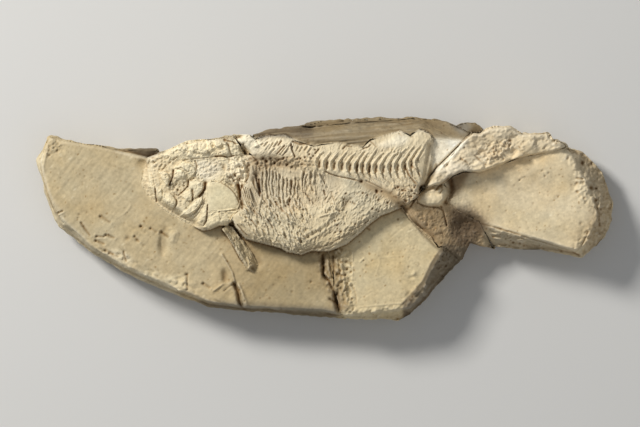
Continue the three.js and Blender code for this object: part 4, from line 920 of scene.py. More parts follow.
# The head
head = {
    "softer": 0.5,
    "higher": 1.5,
    "flakes": {"seed": 116, "count": 420, "lean": (50, -50), "spread": 45, "length": (1.5, 5.5), "width": 0.48,
               "height": 0.24},
    # outline, height, softness
    "plates": [
        ([(207, 184), (213, 181.5), (222, 182), (229, 187), (235, 193.5), (238.8, 202), (238.6, 208.5),
          (229, 210.6), (219, 211.6), (207.8, 212), (207, 198)], 0.35, 0.9),
        ([(208, 212), (219, 211.6), (238.5, 210.4), (233.5, 215), (231.4, 221), (226.6, 223.2), (219, 225),
          (209, 228.4), (203, 227.6), (207.2, 221)], 0.3, 0.5),
        ([(207.2, 204.5), (205.4, 209), (200.6, 216.6), (197, 222.5), (203.5, 226), (206.4, 220.5), (207.6, 212)],
         0.4, 0.4),
        ([(190.4, 181.4), (196.4, 179.4), (203.2, 183), (204.2, 186.4), (202, 192), (197, 196.8), (194, 198.4),
          (192.6, 194), (189.6, 191.6), (188.6, 186)], 0.5, 0.45),
        ([(183.6, 193.4), (188, 190.6), (191.4, 192), (192.6, 196), (191.8, 200.6), (187, 201), (183.4, 198)],
         0.45, 0.45),
        ([(174.6, 167.4), (183.6, 162.6), (190, 163.4), (194.6, 167.5), (195.8, 172), (190.4, 178.2),
          (188.6, 175.4), (187, 170.4), (181.4, 167), (176.4, 168.8)], 0.5, 0.5),
        ([(159.4, 172.6), (164, 171), (168.4, 173.4), (169.6, 178), (169, 184.4), (166.6, 185.2), (162, 178.6)],
         0.6, 0.5),
        ([(163.6, 193), (170, 192.6), (176, 198.6), (176.6, 203), (173, 208.6), (168, 205.4), (163, 200)],
         0.55, 0.5),
        ([(178.4, 200.4), (187.6, 199.6), (190.4, 204), (182, 211.4), (175.6, 208.4)], 0.25, 0.6),
        ([(156.4, 188), (161.6, 189), (163, 196), (159.6, 201), (156.8, 198)], 0.35, 0.4),
        ([(202, 196.4), (203, 201), (198.6, 208), (190, 214.4), (179, 216.4), (188.6, 208.6), (196.4, 201)],
         0.5, 0.7),
        ([(187, 138.6), (202, 136.6), (211, 141), (214, 150), (204, 154), (193, 152)], 0.5, 2.0),
        ([(214, 139), (224, 141), (229, 147), (230.6, 154), (222, 155.4), (217, 148)], 0.45, 1.2),
        ([(170, 150), (186, 144), (196, 150), (192, 157), (176, 157)], 0.4, 2.0),
        ([(240.5, 141.5), (248, 146), (256, 155), (249.5, 156), (243, 148)], 0.3, 0.8),
    ],
    # path, half width, depth, brown
    "cracks": [
        ([(183, 160.5), (194.7, 159), (210, 157.6), (216, 156.8)], 0.5, 0.45, 0.5),
        ([(216, 156.6), (222, 156.2), (228, 157.4), (234, 156)], 0.8, 1.1, 0.95),
        ([(234, 156), (240, 155.2), (247, 156.5)], 0.45, 0.4, 0.4),
        ([(235, 135), (238.6, 141.4), (243.6, 145.8), (248, 151.7), (254, 158), (258, 162)], 0.6, 0.8, 0.9),
        ([(224.6, 139.6), (228.4, 141.4), (233, 142), (235.8, 144)], 0.9, 1.1, 0.95),
        ([(224.3, 140.6), (228.8, 145), (230.2, 152.4), (231.7, 155.4)], 0.8, 0.8, 0.7),
        ([(173.8, 170.6), (173.2, 176.4), (171, 181.6), (169.4, 185)], 0.85, 1.4, 0.95),
        ([(188.8, 180.4), (188.5, 186), (185.2, 189.6), (181.4, 193.2)], 0.7, 1.1, 0.95),
        ([(181.4, 193.2), (178, 196), (174.6, 194)], 0.6, 0.6, 0.4),
        ([(192.6, 190.2), (193.6, 195), (192.6, 200.2)], 0.8, 0.9, 0.75),
        ([(205.8, 183.4), (205, 188.2), (202.8, 192.4), (199.6, 196.2)], 1.5, 1.5, 1.0),
        ([(155.5, 189), (155.9, 195.6), (156.6, 202)], 0.75, 1.3, 1.0),
        ([(153, 176), (154.4, 184), (155.4, 189.6)], 0.5, 0.5, 0.3),
        ([(151.2, 172), (152.2, 181), (154, 190)], 0.5, 0.4, 0.2),
        ([(174.6, 197), (177, 200.6), (176.8, 204.6), (173.6, 208.8)], 0.7, 0.6, 0.6),
        ([(203.4, 197.4), (202, 204), (197.6, 210.6), (191, 216), (184, 219)], 0.5, 0.5, 0.5),
        ([(205, 198.6), (203.6, 205.6), (199, 213), (193.6, 218.6)], 0.5, 0.55, 0.7),
        ([(201.4, 198), (199, 204.4), (194, 210)], 0.45, 0.35, 0.25),
        ([(207.7, 205), (207.5, 213), (206.4, 220.6), (204.6, 224)], 0.75, 1.0, 0.95),
        ([(219.4, 212), (220, 216.4), (220.8, 219.6)], 0.5, 0.4, 0.55),
        ([(195.5, 161.4), (197.4, 165.6), (196.6, 169.6)], 0.75, 0.7, 0.6),
        ([(177, 157.6), (169, 163.6), (161.5, 171)], 0.6, 0.5, 0.3),
        ([(170, 157), (163, 161), (157, 166)], 0.5, 0.4, 0.25),
        ([(153.4, 157.6), (158, 159.6), (163, 158)], 0.6, 0.4, 0.3),
        ([(221.4, 182.6), (229, 187.4), (235.4, 193.6), (239, 202), (239, 208.6)], 0.5, 0.5, 0.75),
        ([(226, 181.6), (233, 186.8), (238.6, 194), (241.4, 202)], 0.5, 0.4, 0.35),
        ([(225.4, 184), (232.6, 190.4), (236.6, 197)], 0.4, 0.25, 0.35),
        ([(219.6, 183), (224.6, 179.4)], 0.5, 0.4, 0.5),
        ([(230.4, 175.4), (234, 180.4), (237.4, 186)], 0.7, 0.6, 0.5),
        ([(234.6, 174.4), (237.6, 179), (239.4, 184)], 0.6, 0.6, 0.6),
        ([(227.4, 176.4), (232, 183)], 0.5, 0.4, 0.3),
        ([(241, 181), (243.4, 187.6), (246, 194)], 0.6, 0.6, 0.45),
    ],
    # path, half width, height
    "ridges": [
        ([(148.4, 158.6), (147.4, 168), (149.6, 180), (153, 189), (156.6, 202)], 0.9, 0.35),
        ([(145.6, 164), (144.8, 176), (148, 188)], 0.8, 0.25),
        ([(156.6, 203), (169, 211.6), (178, 216.6), (188, 222)], 0.8, 0.3),
        ([(160, 206.6), (172, 214.6), (182, 219)], 0.5, 0.15),
        ([(183.8, 168.8), (187.6, 173), (189.2, 178.4)], 0.7, 0.4),
        ([(219, 211), (228, 210.2), (234, 208.8), (239.4, 211.2)], 0.8, 0.5),
        ([(220.8, 212.8), (228, 212.2), (236, 212.4)], 0.6, 0.25),
        ([(201.6, 200.4), (197.4, 207.4), (190, 213.4)], 0.6, 0.3),
        ([(241.6, 160), (244.4, 168), (245.6, 176), (243.6, 186)], 1.2, 0.55),
        ([(236, 160.4), (238.6, 166), (240, 173)], 1.3, 0.4),
        ([(219, 160.4), (223.6, 159.8), (227.6, 163.4), (227.4, 169.4)], 1.0, 0.35),
        ([(206.4, 140), (205, 147)], 1.0, 0.2),
        ([(226.4, 141.6), (225.6, 147), (227.8, 153)], 1.2, 0.35),
    ],
    # place, half width, depth
    "pits": [
        (177.7, 189.8, 0.9, 1.0), (184.4, 183.2, 0.8, 0.7), (177, 181, 0.6, 0.5), (180.4, 186.6, 0.5, 0.5),
        (174.6, 187.4, 0.6, 0.5), (181.4, 197, 0.7, 0.6), (184.2, 204.4, 0.5, 0.3), (220.8, 152.9, 0.8, 0.7),
        (200.5, 142, 0.6, 0.4), (243.9, 144.3, 1.1, 1.1), (187, 208.6, 0.6, 0.3), (153, 158, 1.0, 0.6),
        (166, 165.4, 0.9, 0.5), (234.7, 175.3, 1.0, 0.8), (239.9, 179, 1.0, 0.9), (234, 181.3, 0.8, 0.7),
        (238, 184.4, 0.8, 0.6), (229.6, 177.4, 0.7, 0.5), (196.4, 176, 0.7, 0.5), (193.5, 178.5, 0.7, 0.5),
        (199, 174.2, 0.6, 0.4), (191.2, 180.4, 0.6, 0.5), (242, 156.6, 0.8, 0.5), (233, 160, 0.7, 0.4),
        (240, 166.6, 0.8, 0.5), (226.6, 187, 0.5, 0.25), (225.4, 197.6, 0.5, 0.2), (247.4, 183, 1.0, 0.8),
    ],
    # outline, chip size, height, seed
    "broken": [
        ([(146, 158), (160, 152), (178, 156), (172, 166), (162, 172), (148, 172)], 2.0, 0.2, 101),
        ([(189, 177), (196, 171), (204, 173), (204, 180), (196, 180), (190, 181)], 1.2, 0.24, 102),
        ([(227, 158), (250, 157), (249, 190), (240, 192), (230, 180), (224, 172)], 2.6, 0.3, 104),
        ([(170, 180), (184, 178.6), (187.6, 186), (180, 193), (174, 194), (169, 188)], 1.5, 0.22, 105),
        ([(172, 193), (182, 192), (184, 199), (178, 203)], 1.5, 0.2, 106),
        ([(165, 148), (200, 138), (228, 136), (226, 154), (200, 155), (180, 157)], 5.0, 0.3, 107),
        ([(150, 158), (176, 146), (202, 139), (232, 133), (232, 140), (200, 144), (172, 151)], 2.2, 0.14, 111),
        ([(144, 158), (152, 158), (156, 200), (150, 200), (143, 184)], 1.6, 0.14, 112),
    ],
}


def sculptHead():
    mask = area["head"]
    # the lower left edge runs out flat on to the slab
    slabLevel = blurredWithin(ground, area["left"], 9) + 0.35
    lowerEdge = [(143, 166), (143, 180), (144, 189), (151, 200), (163, 209.5), (176, 217.5), (190, 225)]
    settle(lowerEdge, 6.5, slabLevel)
    stroke([(150, 156), (160, 149), (172, 145), (186, 140), (200, 139), (222, 137), (232, 134)], 4, -0.7, 0)
    # the bones lie in one broken crust
    for path, width in [([(207, 192), (207.4, 204), (208, 211)], 2.4), ([(208, 211), (222, 211.6), (238, 210)], 3.0),
                        ([(206, 182), (214, 181), (224, 181.5)], 3.0), ([(196, 160), (198, 178), (206, 181)], 3.0),
                        ([(240, 141), (248, 151), (254, 158)], 5.0), ([(240, 157), (247, 168), (242, 180)], 3.0)]:
        melt(path, width, 2.5)
    # hollows
    spot(178, 187, 5.6, -0.75, 1.3, 60)
    spot(180.8, 173.6, 5.8, 1.1, 1.1, 20)
    spot(224, 167.5, 2.6, -0.7, 2.2, 105)
    spot(224.4, 168, 2.2, 0.35, 1.9, 105, target=stainAndShade)
    spot(247.5, 168, 2.6, -0.7, 2.6, 84)
    spot(247.5, 168, 2.0, 0.25, 2.6, 84, target=stainAndShade)
    for outline, high, softness in head["plates"]:
        relief[:] += inside(outline, softness * head["softer"]) * high * head["higher"]
    for outline, size, height, seed in head["broken"]:
        rough = blurred(facets(size * 1.3, seed), 0.3) * height + grit(1.0, seed + 20) * height * 0.35
        relief[:] += inside(outline, 1.2) * mask * rough
    frontal = inside([(197, 160), (220, 158), (222, 174), (212, 182), (201, 178)], 1.5)
    relief[:] += frontal * (grit(0.9, 103, 2.0, 35) * 0.07 + cloud(3, 115) * 0.1)
    for path, width, height in head["ridges"]:
        stroke(path, width, height)
    for path, width, depth, brown in head["cracks"]:
        crack(path, width, depth * 0.85, brown * 0.85)
    for x, y, width, depth in head["pits"]:
        pit(x, y, width * 0.85, depth * 0.8, 0.6)
    crust = inside([(207, 184), (222, 182), (236, 193), (239, 208), (208, 212)], 1.5)
    field = [(146, 158), (190, 138), (236, 134), (250, 158), (246, 200), (206, 224), (170, 210), (148, 190)]
    relief[:] += mask * (1 - crust) * strands(head["flakes"], field)
    rough = grit(0.8, 113) * 0.05 + blurred(facets(3, 109), 0.3) * 0.12
    relief[:] += mask * (rough * (1 - 0.85 * crust) + cloud(4, 110) * 0.05)
    scattered(20, 114, [(148, 160), (200, 140), (232, 138), (246, 158), (240, 200), (206, 222), (170, 212),
                        (146, 188)], 0.45, 0.25, 0.45)


def sculptFin():
    fin = area["fin"]
    ridge = [(222, 228), (227, 234), (232, 245), (239, 259), (246, 269)]
    stroke(ridge, 1.3, 0.7, 0)
    # its right face slopes away, and its end is broken
    slope = [(229.5, 226), (240, 240), (249.5, 254), (257, 264)]
    stroke(slope, 4.2, -1.3, 0)
    relief[:] += fin * (facets(2.0, 121, 3.0, -58) * 0.13 + cloud(0.7, 122, 5, -58) * 0.12)
    relief[:] += fin * (grit(1.0, 123, 4.0, -58) * 0.12 + blurred(facets(1.6, 124, 2.0, -58), 0.3) * 0.14)
    crack([(229, 232), (233, 240), (236, 246)], 0.6, 0.4, 0.4)
    pit(234.8, 240.2, 1.0, 0.5, 0.8)
    pit(253, 268.5, 2.0, 1.2, 0.7)
    stroke([(247, 270), (250, 266), (255, 264)], 1.0, 0.4)
    shade = [(240, 233), (249, 243), (256, 254), (260, 262)]
    stroke(shade, 3.2, -0.45, 0)
    stroke(shade, 3.6, 0.2, 0, 3, target=stainAndShade)


print("fossil: sculpting")
solid = area["solid"]
relief += area["slab"] * (cloud(9, 1) * 0.07 + cloud(2.5, 2) * 0.02 + grit(1.2, 3) * 0.014)
for sculpt in (sculptLeftSlab, sculptJoint, sculptLowerSlab, sculptRightBlocks, sculptMortar, sculptBackbone,
               sculptFrontSpines, sculptRibs, sculptBelly, sculptHead, sculptFin):
    sculpt()

# Painted shade: the colour darkens in every hollow and at the foot of each step where a piece stands over its
# neighbour, on top of the stain
relief = np.where(solid, relief, blurredWithin(relief, solid, 2.5))
rimLevel = np.where(solid, ground, blurredWithin(ground, solid, 2.5))
inland = smoothStep(0.6, 0.97, blurred(solid.astype(float), 1.8))
hollowFine = (blurredWithin(relief, solid, 1.2) - relief) * inland
hollowWide = (blurredWithin(relief, solid, 4.0) - relief) * inland
creviceShadeAndStain = stainAndShade * 0.75 + np.clip(hollowFine - 0.09, 0, 1) * 0.8 + np.clip(hollowWide - 0.15, 0, 1.5) * 0.22
creviceShadeAndStain = np.clip(creviceShadeAndStain, 0, 1)
# Painted highlight: the crests of the relief are made paler
crestHighlight = np.clip(-hollowFine * 1.7 - np.clip(hollowWide, -2, 0) * 0.1, 0, 1)

# Colours of the stone, from 0 to 255
palette = {
    "stone_left": (190, 173, 138),
    "stone_lower": (208, 192, 155),
    "stone_right": (216, 200, 167),
    "stone_upper_right": (220, 204, 173),
    "stone_back": (142, 126, 98),
    "mortar_joint": (198, 173, 134),
    "stone_knob": (228, 210, 174),
    "vertebral_column": (214, 199, 167),
    "front_spines": (232, 220, 192),
    "rib_cage_left": (206, 192, 163),
    "belly_scales": (206, 193, 163),
    "cleithrum": (200, 186, 155),
    "pectoral_fin_bone": (200, 184, 148),
    "skull": (214, 198, 164),
}
plateColour = (224, 209, 174)
washes = [
    # outline, softness, colour, strength
    ([(196, 160), (220, 158), (222, 174), (206, 183), (197, 176)], 3, (222, 214, 196), 0.6),
    ([(183, 206), (176, 200), (186, 196), (194, 203), (186, 212)], 3, (196, 184, 154), 0.5),
    ([(208, 184), (226, 183), (237, 192), (237, 209), (210, 211)], 3, (214, 201, 164), 0.7),
    # the bare chip's own pale colour, made brighter still as painted light against the shade it lies in
    ([(433, 138), (470, 140), (458, 152), (446, 166), (434, 176), (430, 160)], 1.5, (246, 240, 222), 0.95),
    ([(450, 160), (474, 168), (470, 174), (448, 178), (440, 172)], 2, (226, 216, 194), 0.7),
    # painted light: the top of the dish under the back block's edge is brightened against the shade of the step
    ([(472, 170), (506, 158), (545, 150), (560, 152), (556, 160), (510, 172), (480, 180)], 4, (240, 214, 168), 0.75),
    ([(500, 205), (560, 222), (572, 236), (540, 236), (492, 218)], 8, (200, 184, 148), 0.7),
    ([(386, 248), (402, 246), (406, 262), (396, 280), (384, 270)], 5, (214, 188, 138), 0.6),
    ([(366, 256), (376, 254), (378, 268), (368, 272)], 4, (214, 190, 142), 0.5),
    # painted shadow in the hollow between the knob and the dish
    ([(447, 180), (462, 171), (470, 173), (464, 184), (456, 196), (449, 197)], 2.5, (134, 110, 80), 0.8),
    ([(570, 140), (590, 146), (612, 190), (606, 236), (590, 258), (584, 240), (594, 200), (580, 170)], 4,
     (180, 162, 132), 0.8),
    ([(550, 168), (568, 170), (572, 190), (560, 200), (552, 190)], 6, (204, 184, 144), 0.4),
    ([(103, 249), (117, 250), (130, 255), (134, 264), (120, 262), (106, 255)], 2, (222, 208, 176), 0.7),
    ([(164, 276), (187, 275), (190, 288), (176, 292), (160, 284)], 2, (220, 205, 170), 0.7),
    ([(143, 268), (160, 272), (162, 280), (148, 276)], 2, (212, 196, 160), 0.6),
    # painted light on the paler right side of the thumb mark
    ([(168, 228), (178, 228), (180, 240), (172, 248), (168, 238)], 2, (206, 190, 155), 0.6),
    # painted shade on the layered edge below the dish, which faces down
    ([(482, 225), (504, 231), (524, 237), (546, 243.5), (568, 250), (590, 260), (560, 266), (484, 246)], 1.2,
     (186, 170, 140), 0.85),
    # painted shade on the putty's low slope below the dish
    ([(452, 206), (472, 208), (490, 224), (472, 252), (450, 244), (448, 224)], 4, (98, 82, 64), 0.85),
    # painted shade on the bevelled right side of the lower slab
    ([(444, 243), (431, 262), (422, 281), (402, 303), (404, 320), (446, 290), (474, 248)], 1.2, (112, 100, 82), 0.85),
    ([(318, 250), (336, 250), (342, 276), (350, 312), (334, 312), (322, 284)], 2.5, (152, 132, 98), 0.75),
    # painted light on the bevel down the left and along the lower left
    ([(36, 140), (44, 155), (42, 174), (47, 189), (56, 212), (66, 223), (87, 241), (104, 254), (140, 272), (180, 290),
      (180, 300), (100, 268), (50, 220), (30, 180)], 1.2, (208, 194, 162), 0.8),
    ([(448, 121), (464, 119), (474, 127), (462, 135)], 2, (160, 152, 137), 0.9),
    ([(252, 134), (273, 127), (291, 125), (305, 124), (314, 122), (313, 137), (300, 138), (290, 138), (270, 137),
      (260, 140)], 1.5, (108, 95, 75), 0.95),
    ([(228, 158), (248, 157), (249, 188), (240, 190), (230, 180), (226, 170)], 3, (234, 220, 190), 0.8),
    ([(166, 148), (190, 138), (220, 136), (232, 148), (228, 157), (196, 158), (166, 162)], 3, (230, 215, 180), 0.8),
    ([(410, 214), (440, 208), (446, 232), (436, 242), (420, 228)], 4, (178, 153, 117), 0.7),
    ([(208, 212), (238, 211), (232, 222), (210, 228)], 1.5, (230, 215, 178), 0.7),
    ([(170, 180), (186, 179), (187, 190), (178, 198), (169, 190)], 2, (196, 182, 152), 0.7),
    ([(176, 168), (184, 167), (187, 174), (184, 180), (176, 179)], 1, (238, 224, 190), 0.6),
    ([(220, 134), (234, 132), (234, 141), (220, 141)], 2, (150, 136, 110), 0.8),
    # painted shadow along and under the lower front edge of the belly
    ([(238, 218), (252, 236), (262, 243), (285, 248), (286, 256), (262, 258), (246, 250), (236, 232)], 3,
     (150, 132, 98), 0.6),
    # painted shade on the grey wedge of the back block behind the slab's top edge
    ([(100, 140), (168, 138), (165, 152), (147, 158), (126, 150), (104, 147)], 1, (105, 94, 77), 0.9),
    ([(300, 240), (336, 236), (364, 222), (356, 236), (320, 252)], 4, (196, 178, 140), 0.5),
    ([(248, 157), (292, 157), (318, 166), (262, 172), (250, 168)], 3, (160, 137, 103), 0.6),
    ([(376, 146), (390, 138), (402, 134), (410, 138), (404, 145), (388, 148)], 2, (240, 232, 210), 0.8),
    ([(362, 182), (380, 186), (398, 196), (410, 208), (402, 212), (388, 200), (368, 190)], 2.5, (172, 148, 112), 0.6),
    ([(250, 170), (262, 168), (262, 196), (252, 190)], 3, (150, 130, 100), 0.6),
    ([(228, 262), (262, 256), (330, 254), (332, 300), (300, 312), (240, 306)], 12, (166, 148, 113), 0.9),
    # painted shade on the slab's lower side, which faces down
    ([(200, 300), (260, 303), (336, 308), (340, 330), (180, 330)], 2, (120, 108, 86), 0.8),
]


def toLinear(colour):
    share = np.asarray(colour, float) / 255
    return np.where(share <= 0.04045, share / 12.92, ((share + 0.055) / 1.055) ** 2.4)


stonePaint = {
    "warmth": (0.006, -0.002, -0.014),
    "specks": (0.24, 0.32, 0.42),  # red, green and blue that a brown speck takes away
    "speckFrom": (2.1, 3.0),
    "rubbedAndHighlight": (0.09, 0.11, 0.15),  # and that a rubbed spot adds
    "rubbedFrom": (2.2, 3.1),
}


def paintPlan():
    paint = np.zeros(across.shape + (3,))
    for number, name in enumerate(nodeNames):
        paint[owner == number] = palette.get(name, plateColour)
    for channel in range(3):
        paint[..., channel] = blurredWithin(paint[..., channel], solid, 1.2)
    for outline, softness, colour, strength in washes:
        share = inside(outline, softness)[..., None] * strength
        paint = paint * (1 - share) + np.array(colour, float) * share
    warm = cloud(14, 201) * 0.5 + cloud(5, 202) * 0.3
    paint *= 1 + warm[..., None] * np.array(stonePaint["warmth"])
    paint *= 1 + (cloud(4, 203) * 0.01 + cloud(1.2, 205) * 0.012 + cloud(0.6, 204) * 0.022)[..., None]
    # fine brown specks, and pale ones where the stone is rubbed
    specks = smoothStep(*stonePaint["speckFrom"], cloud(0.75, 206)) * area["stone"]
    rubbedAndHighlight = smoothStep(*stonePaint["rubbedFrom"], cloud(0.7, 207, 2.4, 35)) * area["stone"]
    paint *= 1 - specks[..., None] * np.array(stonePaint["specks"])
    paint *= 1 + rubbedAndHighlight[..., None] * np.array(stonePaint["rubbedAndHighlight"])
    return np.clip(paint, 0, 255)


print("fossil: painting")
paint = paintPlan()
softPaint = np.stack([blurredWithin(paint[..., channel], solid, 4.0) for channel in range(3)], axis=2)


def sampled(field, x, y):
    px, py = fromMetres(x, y)
    column = np.clip((px - plan["left"]) / plan["cell"], 0, field.shape[1] - 1.001)
    row = np.clip((py - plan["top"]) / plan["cell"], 0, field.shape[0] - 1.001)
    i, j = row.astype(int), column.astype(int)
    a, b = row - i, column - j
    if field.ndim == 3:
        a, b = a[:, None], b[:, None]
    upper = field[i, j] * (1 - b) + field[i, j + 1] * b
    lower = field[i + 1, j] * (1 - b) + field[i + 1, j + 1] * b
    return upper * (1 - a) + lower * a


# Rock noise on the sides: random values on a lattice, blended between
def rockNoise(points, size, seed):
    lattice = np.random.default_rng(seed).normal(size=(32, 32, 32))
    place = points / size
    base = np.floor(place).astype(int)
    share = place - base
    share = share * share * (3 - 2 * share)
    total = np.zeros(len(points))
    for corner in range(8):
        step = np.array([corner & 1, corner >> 1 & 1, corner >> 2 & 1])
        weight = np.prod(np.where(step, share, 1 - share), axis=1)
        i, j, k = ((base + step) % 32).T
        total += weight * lattice[i, j, k]
    return total


pieces = {
    # node: voxel size in millimetres, material
    "stone_left": (0.35, "slabStone"),
    "stone_lower": (0.28, "slabStone"),
    "stone_right": (0.28, "slabStone"),
    "stone_upper_right": (0.26, "slabStone"),
    "stone_back": (0.32, "weatheredStone"),
    "stone_knob": (0.22, "slabStone"),
    "mortar_joint": (0.24, "mortar"),
    "skull": (0.21, "headBone"),
    "belly_scales": (0.2, "trunkBone"),
    "vertebral_column": (0.2, "trunkBone"),
    "rib_cage_left": (0.19, "trunkBone"),
    "front_spines": (0.16, "trunkBone"),
    "cleithrum": (0.15, "trunkBone"),
    "pectoral_fin_bone": (0.16, "trunkBone"),
}
plateMaking = (0.14, "headBone")
# The fossil's foot is buried in the stone: what lies under the first height is raised to the second
fossil = {"nodes": ("skull", "belly_scales", "vertebral_column", "rib_cage_left", "front_spines"),
          "buried": 0.0125, "foot": 0.0155, "wellInside": 0.9}
# Metres by which each side grows to close the seams, and by which it grows at a wide one
seamGrowth = (0.0002, 0.0004)


def plainUnderside(mesh):
    shape = bmesh.new()
    shape.from_mesh(mesh)
    under = [face for face in shape.faces if max(vertex.co.z for vertex in face.verts) < 0.0004]
    bmesh.ops.delete(shape, geom=under, context="FACES")
    edges = [edge for edge in shape.edges if edge.is_boundary]
    bmesh.ops.holes_fill(shape, edges=edges, sides=0)
    shape.to_mesh(mesh)
    shape.free()


def remeshed(node, name, voxel):
    shape = bmesh.new()
    shape.from_mesh(node.data)
    bmesh.ops.remove_doubles(shape, verts=shape.verts, dist=1e-6)
    if name in fossil["nodes"]:
        for vertex in shape.verts:
            place = np.array([vertex.co[:]])
            covered = sampled(soft["solid"], place[:, 0], place[:, 1])[0] > fossil["wellInside"]
            if covered and vertex.co.z < fossil["buried"]:
                vertex.co.z = fossil["foot"]
    mesh = bpy.data.meshes.new(name)
    shape.to_mesh(mesh)
    shape.free()
    rough = bpy.data.objects.new(name, mesh)
    bpy.context.collection.objects.link(rough)
    remesh = rough.modifiers.new("voxels", "REMESH")
    remesh.mode = "VOXEL"
    remesh.voxel_size = voxel * 0.001 * 1
    remesh.use_smooth_shade = True
    ready = rough.evaluated_get(bpy.context.evaluated_depsgraph_get())
    fine = bpy.data.meshes.new_from_object(ready)
    bpy.data.objects.remove(rough)
    bpy.data.meshes.remove(mesh)
    if name.startswith("stone") and name != "stone_knob":
        plainUnderside(fine)
    return fine


carving = {
    # all in metres
    "faceDepth": 0.003,
    "rim": (0.0017, 0.0003),
    "foot": (0.0004, 0.003),
    "lumps": ((0.005, 0.35), (0.0016, 0.16), (0.0028, 0.14)),
    "faceTilt": 0.3,  # how far up the normal of a face points
}


def carve(mesh, name, level):
    (wideLump, wideHeight), (fineLump, fineHeight), (flatLump, flatHeight) = carving["lumps"]
    count = len(mesh.vertices)
    place = np.empty(count * 3)
    mesh.vertices.foreach_get("co", place)
    place = place.reshape(-1, 3)
    normal = np.empty(count * 3)
    mesh.vertex_normals.foreach_get("vector", normal)
    normal = normal.reshape(-1, 3)
    side = np.clip(1 - np.abs(normal[:, 2]) * 1.4, 0, 1)
    wide = smoothStep(0.02, 0.2, sampled(wideSeams, place[:, 0], place[:, 1]))
    growth = seamGrowth[0] + (seamGrowth[1] - seamGrowth[0]) * wide
    place[:, :2] += normal[:, :2] * (side * growth)[:, None]
    face = sampled(relief, place[:, 0], place[:, 1]) * 0.001
    first = sampled(ground, place[:, 0], place[:, 1]) * 0.001
    onFace = (normal[:, 2] > carving["faceTilt"]) & (place[:, 2] > first - carving["faceDepth"])
    # the top of a side goes with the face, so that two pieces meet without a groove
    drop = np.abs(sampled(level, place[:, 0], place[:, 1]) * 0.001 - place[:, 2])
    rim = smoothStep(*carving["rim"], drop) * (normal[:, 2] > -carving["faceTilt"])
    rim *= smoothStep(0.75, 0.95, sampled(soft["solid"], place[:, 0], place[:, 1]))
    if name in stoneNames:
        # broken rock on the sides, dying out at the foot
        away = smoothStep(*carving["foot"], place[:, 2]) * (1 - onFace)
        lumps = rockNoise(place, wideLump, 5) * wideHeight + rockNoise(place, fineLump, 6) * fineHeight
        lumps += rockNoise(place * [1, 1, 2.6], flatLump, 7) * flatHeight
        place += normal * (lumps * 0.001 * away)[:, None]
    side = place[:, 2] + rim * (face - place[:, 2])
    place[:, 2] = np.where(onFace, face, np.minimum(side, np.maximum(face, 0)))
    mesh.vertices.foreach_set("co", place.ravel())
    return place, onFace


# The sides have no drawing of their own: they go from the face's colours to the plain stone's
sidePaint = {
    "shade": 0.94,
    "patches": (0.004, 0.035),  # size in metres, strength
    "grains": (0.0013, 0.03),
    "asideFrom": (0.0006, 0.0022),  # metres below the face where the sides' own look sets in
    "plainFrom": (0.002, 0.007),
    "lessDirtShadeAndHighlight": 0.85,
}


def dress(mesh, name, place, onFace):
    drop = sampled(rimLevel, place[:, 0], place[:, 1]) * 0.001 - place[:, 2]
    aside = np.where(onFace, 0, smoothStep(*sidePaint["asideFrom"], drop))[:, None]
    plain = np.array(palette.get(name, plateColour), float) * sidePaint["shade"]
    (patchSize, patches), (grainSize, grains) = sidePaint["patches"], sidePaint["grains"]
    plain = plain * (1 + rockNoise(place, patchSize, 8)[:, None] * patches
                     + rockNoise(place, grainSize, 9)[:, None] * grains)
    low = smoothStep(*sidePaint["plainFrom"], drop)[:, None]
    beside = sampled(softPaint, place[:, 0], place[:, 1]) * (1 - low) + plain * low
    colour = toLinear(sampled(paint, place[:, 0], place[:, 1]) * (1 - aside) + beside * aside)
    colours = np.concatenate([colour, np.ones((len(colour), 1))], axis=1)
    layer = mesh.attributes.new("stoneColour", "FLOAT_COLOR", "POINT")
    layer.data.foreach_set("color", colours.ravel())
    for label, field in {"creviceShadeAndStain": creviceShadeAndStain, "crestHighlight": crestHighlight}.items():
        values = sampled(field, place[:, 0], place[:, 1]) * (1 - sidePaint["lessDirtShadeAndHighlight"] * aside[:, 0])
        layer = mesh.attributes.new(label, "FLOAT", "POINT")
        layer.data.foreach_set("value", values)


# Materials
def newGroup(name, inputs, outputs):
    group = bpy.data.node_groups.new(name, "ShaderNodeTree")
    for label, kind, value in inputs:
        socket = group.interface.new_socket(label, in_out="INPUT", socket_type=kind)
        if value is not None:
            socket.default_value = value
    for label, kind in outputs:
        group.interface.new_socket(label, in_out="OUTPUT", socket_type=kind)
    first = group.nodes.new("NodeGroupInput")
    last = group.nodes.new("NodeGroupOutput")
    return group, first, last


def noiseNode(tree, scale, detail, vector, distortion=0.0):
    node = tree.nodes.new("ShaderNodeTexNoise")
    node.inputs["Scale"].default_value = scale
    node.inputs["Detail"].default_value = detail
    node.inputs["Distortion"].default_value = distortion
    tree.links.new(vector, node.inputs["Vector"])
    return node.outputs["Fac"]


def mathNode(tree, operation, first, second=None, clamp=False):
    node = tree.nodes.new("ShaderNodeMath")
    node.operation = operation
    node.use_clamp = clamp
    for socket, value in zip(node.inputs, (first, second)):
        if value is None:
            continue
        if isinstance(value, (int, float)):
            socket.default_value = value
        else:
            tree.links.new(value, socket)
    return node.outputs[0]


def times(tree, first, second, clamp=False):
    return mathNode(tree, "MULTIPLY", first, second, clamp)


def plus(tree, first, second):
    return mathNode(tree, "ADD", first, second)


def minus(tree, first, second):
    return mathNode(tree, "SUBTRACT", first, second)


def mixColour(tree, share, first, second, blend="MIX"):
    node = tree.nodes.new("ShaderNodeMix")
    node.data_type = "RGBA"
    node.blend_type = blend
    for label, value in {"Factor": share, "A": first, "B": second}.items():
        socket = next(s for s in node.inputs if s.name == label and s.enabled)
        if isinstance(value, (int, float, tuple)):
            socket.default_value = value
        else:
            tree.links.new(value, socket)
    return next(s for s in node.outputs if s.enabled)


# Grain: fine crystals, dark specks and slow mottling over a colour
grainScales = {"fine": 2600, "middle": 700, "slow": 90, "specks": 1100}


